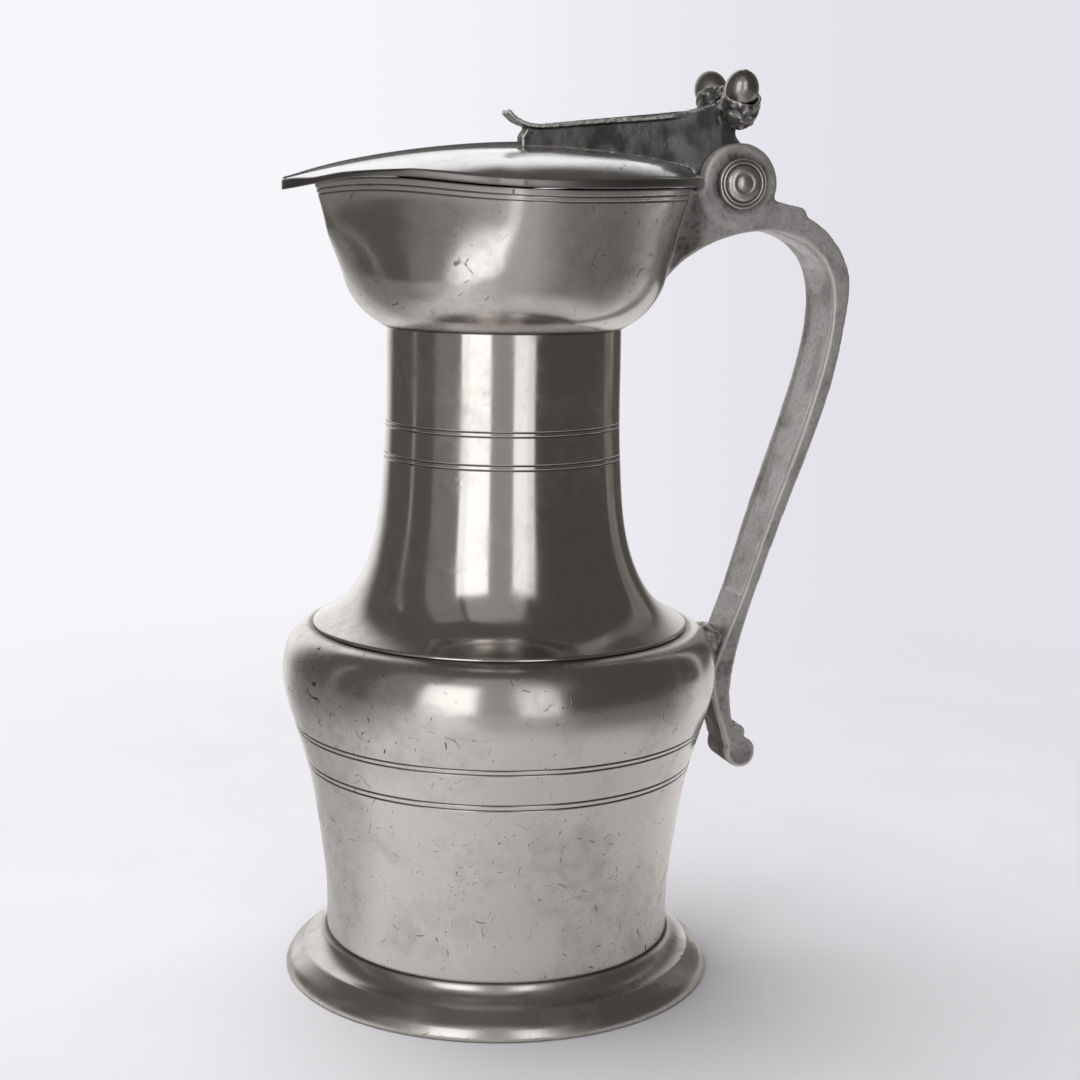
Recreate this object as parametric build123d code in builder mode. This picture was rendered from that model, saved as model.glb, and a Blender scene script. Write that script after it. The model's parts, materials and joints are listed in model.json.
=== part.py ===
from build123d import *
import os
from math import cos, hypot, radians, sin, sqrt

os.makedirs("parts", exist_ok=True)

# A pewter flagon in millimetres. The body's axis is Z and the foot stands on z = 0.
# The spout points along -X, the handle lies along +X, and the lid turns about a pin along Y.

# Foot, as wide as the belly above it
foot_inset = 0.55
foot_height = 10.4
foot_edge = 1.2
foot_ogee_width = 5.1
foot_ridge_height = 6.5
foot_wall = 2.6
collar_width = 0.4
shelf_width = 3.9
shelf_height = 6.0
shelf_thickness = 2.0

# Drum and its floor
belly_radius = 58.05
belly_height = 81.5
belly_bulge = 11.65
shoulder_run = 7.45
seam_height = 95.0
drum_wall = 2.3
floor_thickness = 1.8
floor_rise = 1.2

# Neck
neck_radius = 30.9
neck_height = 79.0
neck_straight = 22.0
neck_wall = 2.2
skirt_inset = 0.7
skirt_edge = 0.8

# Turned lines, cut in pairs: how far a pair lies below the seam or the neck's top
line_width = 0.5
line_depth = 0.3
line_gap = 1.2
drum_line_drops = (25.8, 35.6)
neck_line_drops = (24.7, 33.0)

# Bowl with its pointed spout
bowl_radius = 48.5
bowl_depth = 36.0
bowl_step = 0.7
bowl_wall = 2.2
spout_reach = 3.1
spout_start = 12.0
spout_full = 25.0
spout_corner = 79.0
spout_roundness = 0.25

# Lid
lid_overhang = 2.5
tip_overhang = 6.7
lid_gap = 0.25
lid_crown = 9.8
lid_crown_radius = 230.0
lid_crown_shift = 5.0
lid_wall = 2.0
lid_seat_width = 6.0
lid_back_rounding = 2.8
tip_setback = 1.5
notch_angle = 73.0
notch_width = 6.0
notch_overhang = 0.8
flank_angle = 36.0
flank_overhang = 2.8
rib_width = 3.0
rib_height = 1.6
rib_tip_height = 0.3

# Hinge
hinge_reach = 13.9
hinge_rise = 1.6
ear_radius = 10.6
ear_outer = 8.3
ear_inner = 4.0
knuckle_radius = 10.2
knuckle_side_gap = 0.25
knuckle_floor_gap = 0.7
pin_radius = 2.5
pin_running_gap = 0.08
head_radius = 6.9
head_height = 2.7

# Handle
bracket_reach = 22.0
strap_top_thickness = 4.55
strap_low_thickness = 3.25
strap_top_half = 9.5
strap_low_half = 7.6
strap_bead = 1.3
strap_recess_depth = 0.5
solder_drop = 10.0
solder_radius = 6.6
solder_out = 0.8
scroll_radius = 4.3
scroll_half_width = 7.5
lobe_radius = 2.5

# Lever on the lid
web_half_width = 2.5
web_start = 3.6
web_front_rise = 3.0
lever_plate = 1.1
lever_half_width = 3.4

# Twin acorns
acorn_radius = 4.1
cup_radius = 4.7
cup_rim_radius = 4.35
cup_middle_radius = 4.3
cup_spread = 7.5
cup_height = 18.5
acorn_rise = 7.9
acorn_tilt = 30.0
acorn_forward = 1.0

# Heights and places that follow from the sizes above
drum_radius = belly_radius - belly_bulge
seam_radius = belly_radius - shoulder_run
foot_radius = belly_radius - foot_inset
foot_ridge_radius = foot_radius - foot_ogee_width
neck_top = seam_height + neck_height
rim_height = neck_top + bowl_depth
hinge_x = bowl_radius + hinge_reach
hinge_z = rim_height + hinge_rise
knuckle_half = ear_inner - knuckle_side_gap
lid_back = bowl_radius + lid_overhang
crown_height = rim_height + lid_crown
solder_height = seam_height - solder_drop
handle_drop = hinge_z - solder_height
lever_reach = hinge_x


def inset(points, wall):
    """Points of a run moved square to it, to the left of its direction, by the wall."""
    moved = []
    for index, (x, z) in enumerate(points):
        before = points[max(index - 1, 0)]
        after = points[min(index + 1, len(points) - 1)]
        run = after[0] - before[0]
        rise = after[1] - before[1]
        length = hypot(run, rise)
        moved.append((x - wall * rise / length, z + wall * run / length))
    return moved


def from_hinge(points, length):
    """Points given as shares of a length from the hinge's axis, placed in the side view."""
    return [(hinge_x + x * length, hinge_z + z * length) for x, z in points]


def from_solder(points):
    """Points given as shares of the handle's drop from the belly beside the solder."""
    return [(belly_radius + x * handle_drop, solder_height + z * handle_drop) for x, z in points]


def on_strap(points, low_out=0.0, top_out=0.0):
    """Points of the strap from the share of its height and its bow, moved out by its thickness there."""
    placed = []
    for share, bow in points:
        out = low_out + share * (top_out - low_out)
        x = belly_radius + share * (hinge_x - belly_radius) + bow * handle_drop + out
        placed.append((x, solder_height + share * handle_drop))
    return placed


# Drum outline, from its foot to the seam
shoulder_rise = seam_height - belly_height
drum_curve = [
    (drum_radius, 0.25 * belly_height),
    (drum_radius + 0.155 * belly_bulge, 0.466 * belly_height),
    (drum_radius + 0.42 * belly_bulge, 0.687 * belly_height),
    (drum_radius + 0.80 * belly_bulge, 0.871 * belly_height),
    (belly_radius, belly_height),
    (belly_radius - 0.15 * shoulder_run, belly_height + 0.56 * shoulder_rise),
    (belly_radius - 0.64 * shoulder_run, belly_height + 0.925 * shoulder_rise),
    (seam_radius, seam_height),
]
drum_tangents = ((0, 1), (seam_radius - drum_curve[-2][0], seam_height - drum_curve[-2][1]))
drum_inside_curve = inset(drum_curve, drum_wall)
drum_inside_top = (seam_radius - 1.9 * drum_wall, seam_height)
drum_inside_radius = drum_radius - drum_wall

# Neck outline, from the skirt's edge up to where it runs straight
skirt_radius = seam_radius - skirt_inset
flare = skirt_radius - neck_radius
flare_foot = seam_height + skirt_edge
flare_rise = neck_height - neck_straight - skirt_edge
neck_curve = [
    (skirt_radius, flare_foot),
    (neck_radius + 0.626 * flare, flare_foot + 0.075 * flare_rise),
    (neck_radius + 0.326 * flare, flare_foot + 0.217 * flare_rise),
    (neck_radius + 0.121 * flare, flare_foot + 0.43 * flare_rise),
    (neck_radius + 0.032 * flare, flare_foot + 0.715 * flare_rise),
    (neck_radius, flare_foot + flare_rise),
]
neck_bore = neck_radius - neck_wall
neck_inside_curve = inset(neck_curve, neck_wall)
skirt_inside = (skirt_radius - 1.6 * neck_wall, seam_height)


# How closely a place along an outline is looked up, as a share of the outline
search_share = 0.0001


def radius_at(curve, height):
    """The radius of a wall's outline at a height: a straight wall's, or the smooth curve's."""
    if height >= curve[-1][1]:
        return curve[-1][0]
    outline = Spline(*[(radius, z, 0) for radius, z in curve], mode=Mode.PRIVATE)
    low = 0.0
    high = 1.0
    while high - low > search_share:
        middle = (low + high) / 2
        if (outline @ middle).Y < height:
            low = middle
        else:
            high = middle
    return (outline @ low).X


def line_section(curve, height):
    """The section of a turned line at a height: a groove with a sharp floor in a wall's outline."""
    radius = radius_at(curve, height)
    with BuildSketch(Plane.XZ) as section:
        with BuildLine():
            Polyline(
                (radius + line_depth, height - line_width),
                (radius + line_depth, height + line_width),
                (radius - line_depth, height),
                close=True,
            )
        make_face()
    return section.sketch


# Bowl outline: shares of its depth and of its widening from the neck to the rim
bowl_curve = [
    (0.0, 0.0),
    (0.083, 0.264),
    (0.194, 0.47),
    (0.333, 0.61),
    (0.472, 0.681),
    (0.611, 0.751),
    (0.75, 0.828),
    (0.889, 0.923),
    (1.028, 1.017),
    (1.167, 1.11),
]
bowl_foot_radius = neck_radius + bowl_step
bowl_widening = bowl_radius - bowl_foot_radius
outline_turn = 15


def bowl_profile():
    """The bowl's outline at the back, as radius and height above the neck."""
    return [(bowl_foot_radius + wide * bowl_widening, deep * bowl_depth) for deep, wide in bowl_curve]


def share_above(height, start, full):
    """How far something has grown at a height above the neck: 0 at its start, 1 from its full size."""
    return min(1.0, max(0.0, (height - start) / (full - start)))


def spout_radius(angle, back, keel, roundness):
    """The outline's radius at an angle from the spout: round at the back, flat flanks, a point."""
    if angle >= spout_corner:
        return back
    corner = radians(spout_corner)
    turn = radians(angle)
    flat = keel * back * sin(corner) / (keel * sin(turn) + back * sin(corner - turn))
    rounded = back + (keel - back) * (1 - angle / spout_corner)
    return flat + roundness * (rounded - flat)


def spout_ring(back, height, less=0.0):
    """Points round the bowl at a height above the neck, with a wall taken off its radius."""
    keel = back + spout_reach * share_above(height, spout_start, spout_full)
    roundness = 1 - (1 - spout_roundness) * share_above(height, spout_start, bowl_depth)
    points = []
    for angle in range(-180, 180, outline_turn):
        radius = spout_radius(abs(angle), back, keel, roundness) - less
        points.append((-radius * cos(radians(angle)), radius * sin(radians(angle))))
    return points


def ring_face(points, height):
    """A face inside a closed smooth outline at a height."""
    with BuildSketch(Plane.XY.offset(height)) as ring:
        with BuildLine():
            Spline(*points, periodic=True)
        make_face()
    return ring.sketch


def bowl_rings():
    """The bowl's outer outlines from the neck to above the rim."""
    return [ring_face(spout_ring(back, height), neck_top + height) for back, height in bowl_profile()]


def bowl_hollow_rings():
    """The bowl's inner outlines, from the neck's bore to above the rim."""
    outer = bowl_profile()
    rings = [ring_face(spout_ring(neck_bore, 0.0), neck_top)]
    for (back, height), (thin, raised) in zip(outer[1:], inset(outer, bowl_wall)[1:]):
        rings.append(ring_face(spout_ring(back, height, back - thin), neck_top + raised))
    return rings


# The rim's wave in shares of the bowl's radius: x, and height from the mean rim
wave_shares = [
    (-1.546, -0.1340),
    (-1.184, -0.0412),
    (-0.969, 0.0144),
    (-0.722, 0.0309),
    (-0.495, 0.0113),
    (-0.268, -0.0082),
    (0.309, -0.0144),
    (0.990, 0.0041),
    (1.649, 0.0062),
]


def beyond_wave(gap, side):
    """The side view of all that is above (side 1) or below (side -1) the wave raised by a gap."""
    line = [(x * bowl_radius, rim_height + rise * bowl_radius + gap) for x, rise in wave_shares]
    far = rim_height + side * bowl_radius
    with BuildSketch(Plane.XZ) as beyond:
        with BuildLine():
            Spline(*line)
            Polyline(line[-1], (line[-1][0], far), (line[0][0], far), line[0])
        make_face()
    return beyond.sketch


def polar(angle, radius):
    """A point at an angle from the spout and a radius."""
    return (-radius * cos(radians(angle)), radius * sin(radians(angle)))


def heart(height, shrink=0.0):
    """The lid's outline in plan: a round back, a notch on each side, and flanks to the tip."""
    tip = bowl_radius + spout_reach + tip_overhang - shrink
    flank = spout_radius(flank_angle, bowl_radius, bowl_radius + spout_reach, spout_roundness)
    flank = flank + flank_overhang - shrink
    notch = bowl_radius + notch_overhang - shrink
    back = lid_back - shrink
    with BuildSketch(Plane.XY.offset(height)) as outline:
        with BuildLine():
            for side in (1, -1):
                shoulder = polar(side * (notch_angle + notch_width), back)
                corner = polar(side * notch_angle, notch)
                Line(shoulder, corner)
                ThreePointArc(corner, polar(side * flank_angle, flank), polar(0, tip))
            ThreePointArc(
                polar(notch_angle + notch_width, back),
                (back, 0),
                polar(-notch_angle - notch_width, back),
            )
        make_face()
    return outline.sketch


def crown_at(x):
    """Height of the lid's crown over the middle line."""
    return crown_height - lid_crown_radius + sqrt(lid_crown_radius**2 - (x - lid_crown_shift) ** 2)


# Bodies that fill the outer shapes, so that what is soldered to them meets them face to face
with BuildPart() as drum_outside:
    with BuildSketch(Plane.XZ):
        with BuildLine():
            Polyline(
                drum_curve[-1],
                (0, seam_height),
                (0, shelf_height),
                (drum_radius, shelf_height),
                drum_curve[0],
            )
            Spline(*drum_curve, tangents=drum_tangents)
        make_face()
    revolve(axis=Axis.Z)

with BuildPart() as bowl_outside:
    loft(bowl_rings())

with BuildPart() as lid_outside:
    extrude(heart(rim_height - lid_crown), amount=3 * lid_crown)
    with Locations((lid_crown_shift, 0, crown_height - lid_crown_radius)):
        Sphere(lid_crown_radius, mode=Mode.INTERSECT)
    top_edges = lid_outside.faces().sort_by(Axis.Z)[-1].edges()
    back_edge = top_edges.sort_by(Axis.X)[-1]
    fillet(back_edge, lid_back_rounding)

# Foot ring
with BuildPart() as foot_ring:
    with BuildSketch(Plane.XZ):
        with BuildLine():
            collar = (drum_radius + collar_width, foot_height)
            ridge = (foot_ridge_radius, foot_ridge_height)
            inner_foot = (foot_radius - foot_wall, 0)
            shelf = (drum_radius - shelf_width, shelf_height - shelf_thickness)
            swell = (foot_radius - 0.41 * foot_ogee_width, 0.62 * foot_ridge_height)
            cove = (0.56 * ridge[0] + 0.44 * collar[0], 0.64 * ridge[1] + 0.36 * collar[1])
            Line((foot_radius, 0), (foot_radius, foot_edge))
            ThreePointArc((foot_radius, foot_edge), swell, ridge)
            ThreePointArc(ridge, cove, collar)
            Polyline(
                collar,
                (drum_radius, foot_height),
                (drum_radius, shelf_height),
                (shelf[0], shelf_height),
                shelf,
                (drum_radius, shelf[1]),
            )
            ThreePointArc(
                (drum_radius, shelf[1]),
                (0.45 * drum_radius + 0.55 * inner_foot[0], 0.72 * shelf[1]),
                inner_foot,
            )
            Line(inner_foot, (foot_radius, 0))
        make_face()
    revolve(axis=Axis.Z)
foot_ring.part.label = "foot_ring"
export_step(foot_ring.part, "parts/foot_ring.step")

# Base disc, a little domed, on the foot's shelf
with BuildPart() as base_disc:
    with BuildSketch(Plane.XZ):
        with BuildLine():
            floor_edge = drum_inside_radius
            floor_flat = drum_radius - 1.25 * shelf_width
            Line((floor_edge, shelf_height), (floor_edge, shelf_height + floor_thickness))
            Line((floor_edge, shelf_height + floor_thickness), (floor_flat, shelf_height + floor_thickness))
            Spline(
                (floor_flat, shelf_height + floor_thickness),
                (0, shelf_height + floor_thickness + floor_rise),
                tangents=((-1, 0), (-1, 0)),
            )
            Line((0, shelf_height + floor_thickness + floor_rise), (0, shelf_height + floor_rise))
            Spline(
                (0, shelf_height + floor_rise),
                (floor_flat, shelf_height),
                tangents=((1, 0), (1, 0)),
            )
            Line((floor_flat, shelf_height), (floor_edge, shelf_height))
        make_face()
    revolve(axis=Axis.Z)
base_disc.part.label = "base_disc"
export_step(base_disc.part, "parts/base_disc.step")

# Drum
with BuildPart() as drum:
    with BuildSketch(Plane.XZ):
        with BuildLine():
            low_inside = (drum_inside_radius, shelf_height)
            Line(low_inside, (drum_radius, shelf_height))
            Line((drum_radius, shelf_height), drum_curve[0])
            Spline(*drum_curve, tangents=drum_tangents)
            Line(drum_curve[-1], drum_inside_top)
            Spline(drum_inside_top, *reversed(drum_inside_curve[:-1]))
            Line(drum_inside_curve[0], low_inside)
        make_face()
    revolve(axis=Axis.Z)
    for drop in drum_line_drops:
        for height in (seam_height - drop, seam_height - drop - line_gap):
            revolve(line_section(drum_curve, height), axis=Axis.Z, mode=Mode.SUBTRACT)
drum.part.label = "drum"
export_step(drum.part, "parts/drum.step")

# Neck
with BuildPart() as neck:
    with BuildSketch(Plane.XZ):
        with BuildLine():
            Line(skirt_inside, (skirt_radius, seam_height))
            Line((skirt_radius, seam_height), neck_curve[0])
            start = (neck_curve[1][0] - neck_curve[0][0], neck_curve[1][1] - neck_curve[0][1])
            Spline(*neck_curve, tangents=(start, (0, 1)))
            Polyline(neck_curve[-1], (neck_radius, neck_top), (neck_bore, neck_top), neck_inside_curve[-1])
            Spline(*reversed(neck_inside_curve[1:]), skirt_inside)
        make_face()
    revolve(axis=Axis.Z)
    for drop in neck_line_drops:
        for height in (neck_top - drop, neck_top - drop - line_gap):
            revolve(line_section(neck_curve, height), axis=Axis.Z, mode=Mode.SUBTRACT)
neck.part.label = "neck"
export_step(neck.part, "parts/neck.step")

# Bowl
with BuildPart() as bowl:
    loft(bowl_rings())
    loft(bowl_hollow_rings(), mode=Mode.SUBTRACT)
    extrude(beyond_wave(0.0, 1), amount=2 * bowl_radius, both=True, mode=Mode.SUBTRACT)
bowl.part.label = "bowl"
export_step(bowl.part, "parts/bowl.step")

# The room under the lid's crown, inside its seat on the rim
with BuildPart() as lid_hollow:
    extrude(heart(rim_height - lid_crown, lid_seat_width), amount=3 * lid_crown)
    with Locations((lid_crown_shift, 0, crown_height - lid_crown_radius)):
        Sphere(lid_crown_radius - lid_wall, mode=Mode.INTERSECT)

# Lid
with BuildPart() as lid:
    add(lid_outside.part)
    add(lid_hollow.part, mode=Mode.SUBTRACT)
    with BuildSketch(Plane.XZ) as rib_side:
        with BuildLine():
            rib_tip = tip_setback - (bowl_radius + spout_reach + tip_overhang)
            rib_middle = (rib_tip + web_start) / 2
            top_line = [
                (rib_tip, crown_at(rib_tip) + rib_tip_height),
                (rib_middle, crown_at(rib_middle) + (rib_tip_height + rib_height) / 2),
                (web_start, crown_at(web_start) + rib_height),
            ]
            low_line = [(x, crown_at(x) - lid_wall / 2) for x, _ in top_line]
            ThreePointArc(*top_line)
            ThreePointArc(*low_line)
            Line(top_line[0], low_line[0])
            Line(top_line[-1], low_line[-1])
        make_face()
    extrude(amount=rib_width / 2, both=True)
    extrude(beyond_wave(lid_gap, -1), amount=2 * bowl_radius, both=True, mode=Mode.SUBTRACT)
lid.part.label = "lid"
export_step(lid.part, "parts/lid.step")

# Lever, the web and plate that carry the thumbpiece, with the knuckle of the hinge
# The shares are of the lever's reach from the hinge to the pitcher's axis
lever_plate_line = [
    (-1.0, 0.287),
    (-0.913, 0.233),
    (-0.817, 0.232),
    (-0.611, 0.253),
    (-0.301, 0.282),
    (-0.096, 0.330),
]
web_top_line = [(-0.913, 0.223), (-0.096, 0.3125), (0.0, 0.2965), (0.0, 0.200)]
web_back_hollow = [(0.0, 0.200), (0.019, 0.175), (0.058, 0.152)]
web_floor_rise = 0.4
with BuildPart() as lid_lever:
    with BuildSketch(Plane.XZ) as web_side:
        with BuildLine():
            web_line = [
                (web_start, crown_at(web_start) - lid_wall / 2),
                (web_start, crown_at(web_start) + web_front_rise),
                *from_hinge(web_top_line, lever_reach),
            ]
            web_back = from_hinge(web_back_hollow, lever_reach)
            Polyline(*web_line)
            ThreePointArc(*web_back)
            Polyline(
                web_back[-1],
                (hinge_x, hinge_z),
                (hinge_x - knuckle_radius, hinge_z + web_floor_rise),
                (lid_back - 2 * lid_wall, hinge_z + web_floor_rise),
                web_line[0],
            )
        make_face()
    extrude(amount=knuckle_half, both=True)
    with BuildSketch(Plane.XY.offset(rim_height)) as web_plan:
        with BuildLine():
            Polyline(
                (web_start, -web_half_width),
                (lid_back - 2 * knuckle_half, -web_half_width),
                (lid_back, -knuckle_half),
                (hinge_x + knuckle_radius, -knuckle_half),
                (hinge_x + knuckle_radius, knuckle_half),
                (lid_back, knuckle_half),
                (lid_back - 2 * knuckle_half, web_half_width),
                (web_start, web_half_width),
                close=True,
            )
        make_face()
    extrude(amount=lever_reach, mode=Mode.INTERSECT)
    with BuildSketch(Plane.XZ) as knuckle_side:
        with Locations((hinge_x, hinge_z)):
            Circle(knuckle_radius)
    extrude(amount=knuckle_half, both=True)
    with BuildSketch(Plane.XZ) as plate_side:
        with BuildLine():
            upper = from_hinge(lever_plate_line, lever_reach)
            lower = inset(upper, -lever_plate)
            Spline(*upper)
            Spline(*lower)
            Line(upper[0], lower[0])
            Line(upper[-1], lower[-1])
        make_face()
    extrude(amount=lever_half_width, both=True)
    add(lid_outside.part, mode=Mode.SUBTRACT)
    with BuildSketch(Plane.XZ) as pin_hole:
        with Locations((hinge_x, hinge_z)):
            Circle(pin_radius + pin_running_gap)
    extrude(amount=2 * knuckle_half, both=True, mode=Mode.SUBTRACT)
lid_lever.part.label = "lid_lever"
export_step(lid_lever.part, "parts/lid_lever.step")


# Thumbpiece: two acorns in their cups, joined over the lever
with BuildPart() as thumbpiece:
    for side in (-1, 1):
        tilt = radians(acorn_tilt)
        cup_center = (hinge_x, side * cup_spread, hinge_z + cup_height)
        ball_center = (
            hinge_x - acorn_forward,
            side * (cup_spread + acorn_rise * sin(tilt)),
            hinge_z + cup_height + acorn_rise * cos(tilt),
        )
        rim_center = tuple((cup + ball) / 2 for cup, ball in zip(cup_center, ball_center))
        with Locations(cup_center):
            Sphere(cup_radius)
        with Locations(rim_center):
            Sphere(cup_rim_radius)
        with Locations(ball_center):
            Sphere(acorn_radius)
    with Locations((hinge_x, 0, hinge_z + cup_height)):
        Sphere(cup_middle_radius)
    add(lid_lever.part, mode=Mode.SUBTRACT)
thumbpiece.part.label = "thumbpiece"
export_step(thumbpiece.part, "parts/thumbpiece.step")

# Handle: bracket, hinge ears, tapering strap, tail and scroll end in one casting
# The shares are of the handle's drop, from the hinge to the solder
strap_run = [(0.74, 0.2273), (0.59, 0.2067), (0.43, 0.1608), (0.28, 0.1128), (0.12, 0.0663)]
bracket_arch = [
    (-0.1896, -0.2330),
    (-0.1272, -0.1619),
    (-0.0592, -0.1232),
    (0.0221, -0.1003),
    (0.0924, -0.0995),
    (0.1572, -0.1240),
    (0.2022, -0.1738),
]
bend_outside = [(0.2551, -0.2054), (0.2227, -0.1224), (0.1548, -0.0671)]
bracket_top = [(0.1548, -0.0671), (0.1532, -0.0585), (0.1445, -0.0482), (0.1137, -0.0419), (0.0790, -0.0332)]
tail_inside = [(0.0205, -0.0079), (0.0071, -0.0513), (0.0154, -0.1185), (0.0454, -0.2133)]
tail_outside = [(0.0620, -0.1714), (0.0505, -0.0766), (0.0600, -0.0126)]
scroll_place = (0.0794, -0.2322)
lobe_place = (0.0690, -0.1880)
start_share = -0.2054
waist_share = 0.253
neck_share = 0.0395
end_share = -0.0632
handle_half = max(ear_outer, strap_top_half)

# The shallow channel between the beads of the strap's inner face
with BuildPart() as strap_channel:
    with BuildSketch(Plane.XZ) as channel_side:
        with BuildLine():
            face = from_hinge(bracket_arch[-1:], handle_drop) + on_strap(strap_run)
            floor = [(x + strap_recess_depth, z) for x, z in face]
            mouth = [(x - strap_recess_depth, z) for x, z in face]
            Spline(*floor)
            Spline(*mouth)
            Line(floor[0], mouth[0])
            Line(floor[-1], mouth[-1])
        make_face()
    extrude(amount=handle_half, both=True)
    with BuildSketch(Plane.YZ) as channel_front:
        with BuildLine():
            top_half = strap_top_half - strap_bead
            low_half = strap_low_half - strap_bead
            Polyline(
                (top_half, face[0][1]),
                (-top_half, face[0][1]),
                (-low_half, face[-1][1]),
                (low_half, face[-1][1]),
                close=True,
            )
        make_face()
    extrude(amount=2 * hinge_x, both=True, mode=Mode.INTERSECT)

with BuildPart() as handle:
    with BuildSketch(Plane.XZ) as handle_side:
        with BuildLine():
            inside = from_hinge(bracket_arch, handle_drop) + on_strap(strap_run)
            inside += from_solder(tail_inside)
            outside = from_solder(tail_outside) + on_strap(
                reversed(strap_run), strap_low_thickness, strap_top_thickness
            )
            outside += from_hinge(bend_outside, handle_drop)
            scroll_center = from_solder([scroll_place])[0]
            Spline(*inside)
            Polyline(inside[-1], scroll_center, outside[0])
            Spline(*outside)
            Polyline(
                *from_hinge(bracket_top, handle_drop),
                (hinge_x, hinge_z),
                (hinge_x - 0.5 * ear_radius, rim_height - lid_gap),
                (hinge_x - bracket_reach, rim_height - lid_gap),
                inside[0],
            )
        make_face()
        with Locations((hinge_x, hinge_z)):
            Circle(ear_radius)
        with Locations(scroll_center):
            Circle(scroll_radius)
        with Locations(from_solder([lobe_place])[0]):
            Circle(lobe_radius)
    extrude(amount=handle_half, both=True)
    with BuildSketch(Plane.YZ) as handle_front:
        with BuildLine():
            scroll_z = scroll_center[1]
            side_line = [
                (ear_outer, hinge_z + ear_radius),
                (ear_outer, hinge_z - ear_radius),
                (strap_top_half, hinge_z + start_share * handle_drop),
                (0.5 * strap_top_half + 0.5 * strap_low_half, solder_height + waist_share * handle_drop),
                (strap_low_half, solder_height + neck_share * handle_drop),
                (strap_low_half, solder_height + end_share * handle_drop),
                (scroll_half_width, scroll_z + 2 * scroll_radius),
                (scroll_half_width, scroll_z - scroll_radius),
            ]
            for side in (1, -1):
                edge = [(side * half, z) for half, z in side_line]
                Line(edge[0], edge[1])
                Spline(*edge[1:5])
                Polyline(*edge[4:])
            Line(side_line[0], (-ear_outer, side_line[0][1]))
            Line(side_line[-1], (-scroll_half_width, side_line[-1][1]))
        make_face()
    extrude(amount=2 * hinge_x, both=True, mode=Mode.INTERSECT)
    with BuildSketch(Plane.XZ) as hinge_slot:
        with Locations((hinge_x, hinge_z)):
            Circle(knuckle_radius + knuckle_floor_gap)
    extrude(amount=ear_inner, both=True, mode=Mode.SUBTRACT)
    with BuildSketch(Plane.XZ) as ear_holes:
        with Locations((hinge_x, hinge_z)):
            Circle(pin_radius)
    extrude(amount=2 * ear_outer, both=True, mode=Mode.SUBTRACT)
    add(strap_channel.part, mode=Mode.SUBTRACT)
    add(bowl_outside.part, mode=Mode.SUBTRACT)
    add(drum_outside.part, mode=Mode.SUBTRACT)
handle.part.label = "handle"
export_step(handle.part, "parts/handle.step")

# Solder that joins the strap to the shoulder
with BuildPart() as handle_solder:
    with Locations((belly_radius + solder_out, 0, solder_height)):
        Sphere(solder_radius)
    add(drum_outside.part, mode=Mode.SUBTRACT)
    add(handle.part, mode=Mode.SUBTRACT)
handle_solder.part.label = "handle_solder"
export_step(handle_solder.part, "parts/handle_solder.step")

# Hinge pin
with BuildPart() as hinge_pin:
    with BuildSketch(Plane.XZ) as pin_end:
        with Locations((hinge_x, hinge_z)):
            Circle(pin_radius)
    extrude(amount=ear_outer, both=True)
hinge_pin.part.label = "hinge_pin"
export_step(hinge_pin.part, "parts/hinge_pin.step")

# Pin heads: turned discs with a rim, a groove and a raised middle
head_profile = [
    (0.0, 1.0),
    (0.10, 1.0),
    (0.32, 0.86),
    (0.60, 0.72),
    (0.67, 0.45),
    (0.72, 0.45),
    (0.76, 0.62),
    (0.90, 0.55),
    (1.0, 0.2),
    (1.0, 0.0),
    (0.0, 0.0),
]
for name, side in (("pin_head_near", -1), ("pin_head_far", 1)):
    with BuildPart() as pin_head:
        with BuildSketch(Plane.YZ.offset(hinge_x)) as head_half:
            with BuildLine():
                outline = []
                for wide, deep in head_profile:
                    outline.append((side * (ear_outer + deep * head_height), hinge_z + wide * head_radius))
                Polyline(*outline, close=True)
            make_face()
        revolve(axis=Axis((hinge_x, 0, hinge_z), (0, 1, 0)))
    pin_head.part.label = name
    export_step(pin_head.part, f"parts/{name}.step")
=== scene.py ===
"""The looks of a pewter flagon with a hinged heart-shaped lid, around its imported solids."""

import json
import logging
import math
from collections.abc import Callable, Sequence
from dataclasses import dataclass
from enum import Enum

import bmesh
import bpy
import numpy as np
from mathutils import Euler, Matrix, Vector, noise


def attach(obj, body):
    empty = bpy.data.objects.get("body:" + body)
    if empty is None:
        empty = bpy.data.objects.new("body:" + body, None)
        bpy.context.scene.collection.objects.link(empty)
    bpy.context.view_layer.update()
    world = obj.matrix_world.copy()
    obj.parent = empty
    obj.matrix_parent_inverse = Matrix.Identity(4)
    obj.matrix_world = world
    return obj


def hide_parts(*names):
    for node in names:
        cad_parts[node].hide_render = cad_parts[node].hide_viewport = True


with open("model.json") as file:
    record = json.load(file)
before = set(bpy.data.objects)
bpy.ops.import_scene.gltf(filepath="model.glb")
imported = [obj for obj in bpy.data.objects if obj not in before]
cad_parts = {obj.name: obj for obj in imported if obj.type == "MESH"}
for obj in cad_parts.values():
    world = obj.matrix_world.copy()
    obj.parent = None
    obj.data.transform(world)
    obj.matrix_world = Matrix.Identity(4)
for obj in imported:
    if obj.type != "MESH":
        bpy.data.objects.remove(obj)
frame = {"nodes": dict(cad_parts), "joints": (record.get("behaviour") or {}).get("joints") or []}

logging.basicConfig(level=logging.INFO, format="%(message)s")
log = logging.getLogger("flagon")

MM = 0.001
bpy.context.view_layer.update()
MIDDLE = Vector((0, 0, 0))
UPWARDS = Vector((0, 0, 1))

Point = tuple[float, float]
Triple = tuple[float, float, float]
Piece = bpy.types.Object
Material = bpy.types.Material
Socket = bpy.types.NodeSocket
Shell = bmesh.types.BMesh
Edge = bmesh.types.BMEdge
Vert = bmesh.types.BMVert
# A function from a point to its dirt and painted shade, or below 0 its wear and painted highlight.
DirtAndPaintedLight = Callable[[Vector], float]


class Body(Enum):
    """The two bodies that the hinge joins."""

    PITCHER = "pitcher_body"
    LID = "lid_body"


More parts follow.
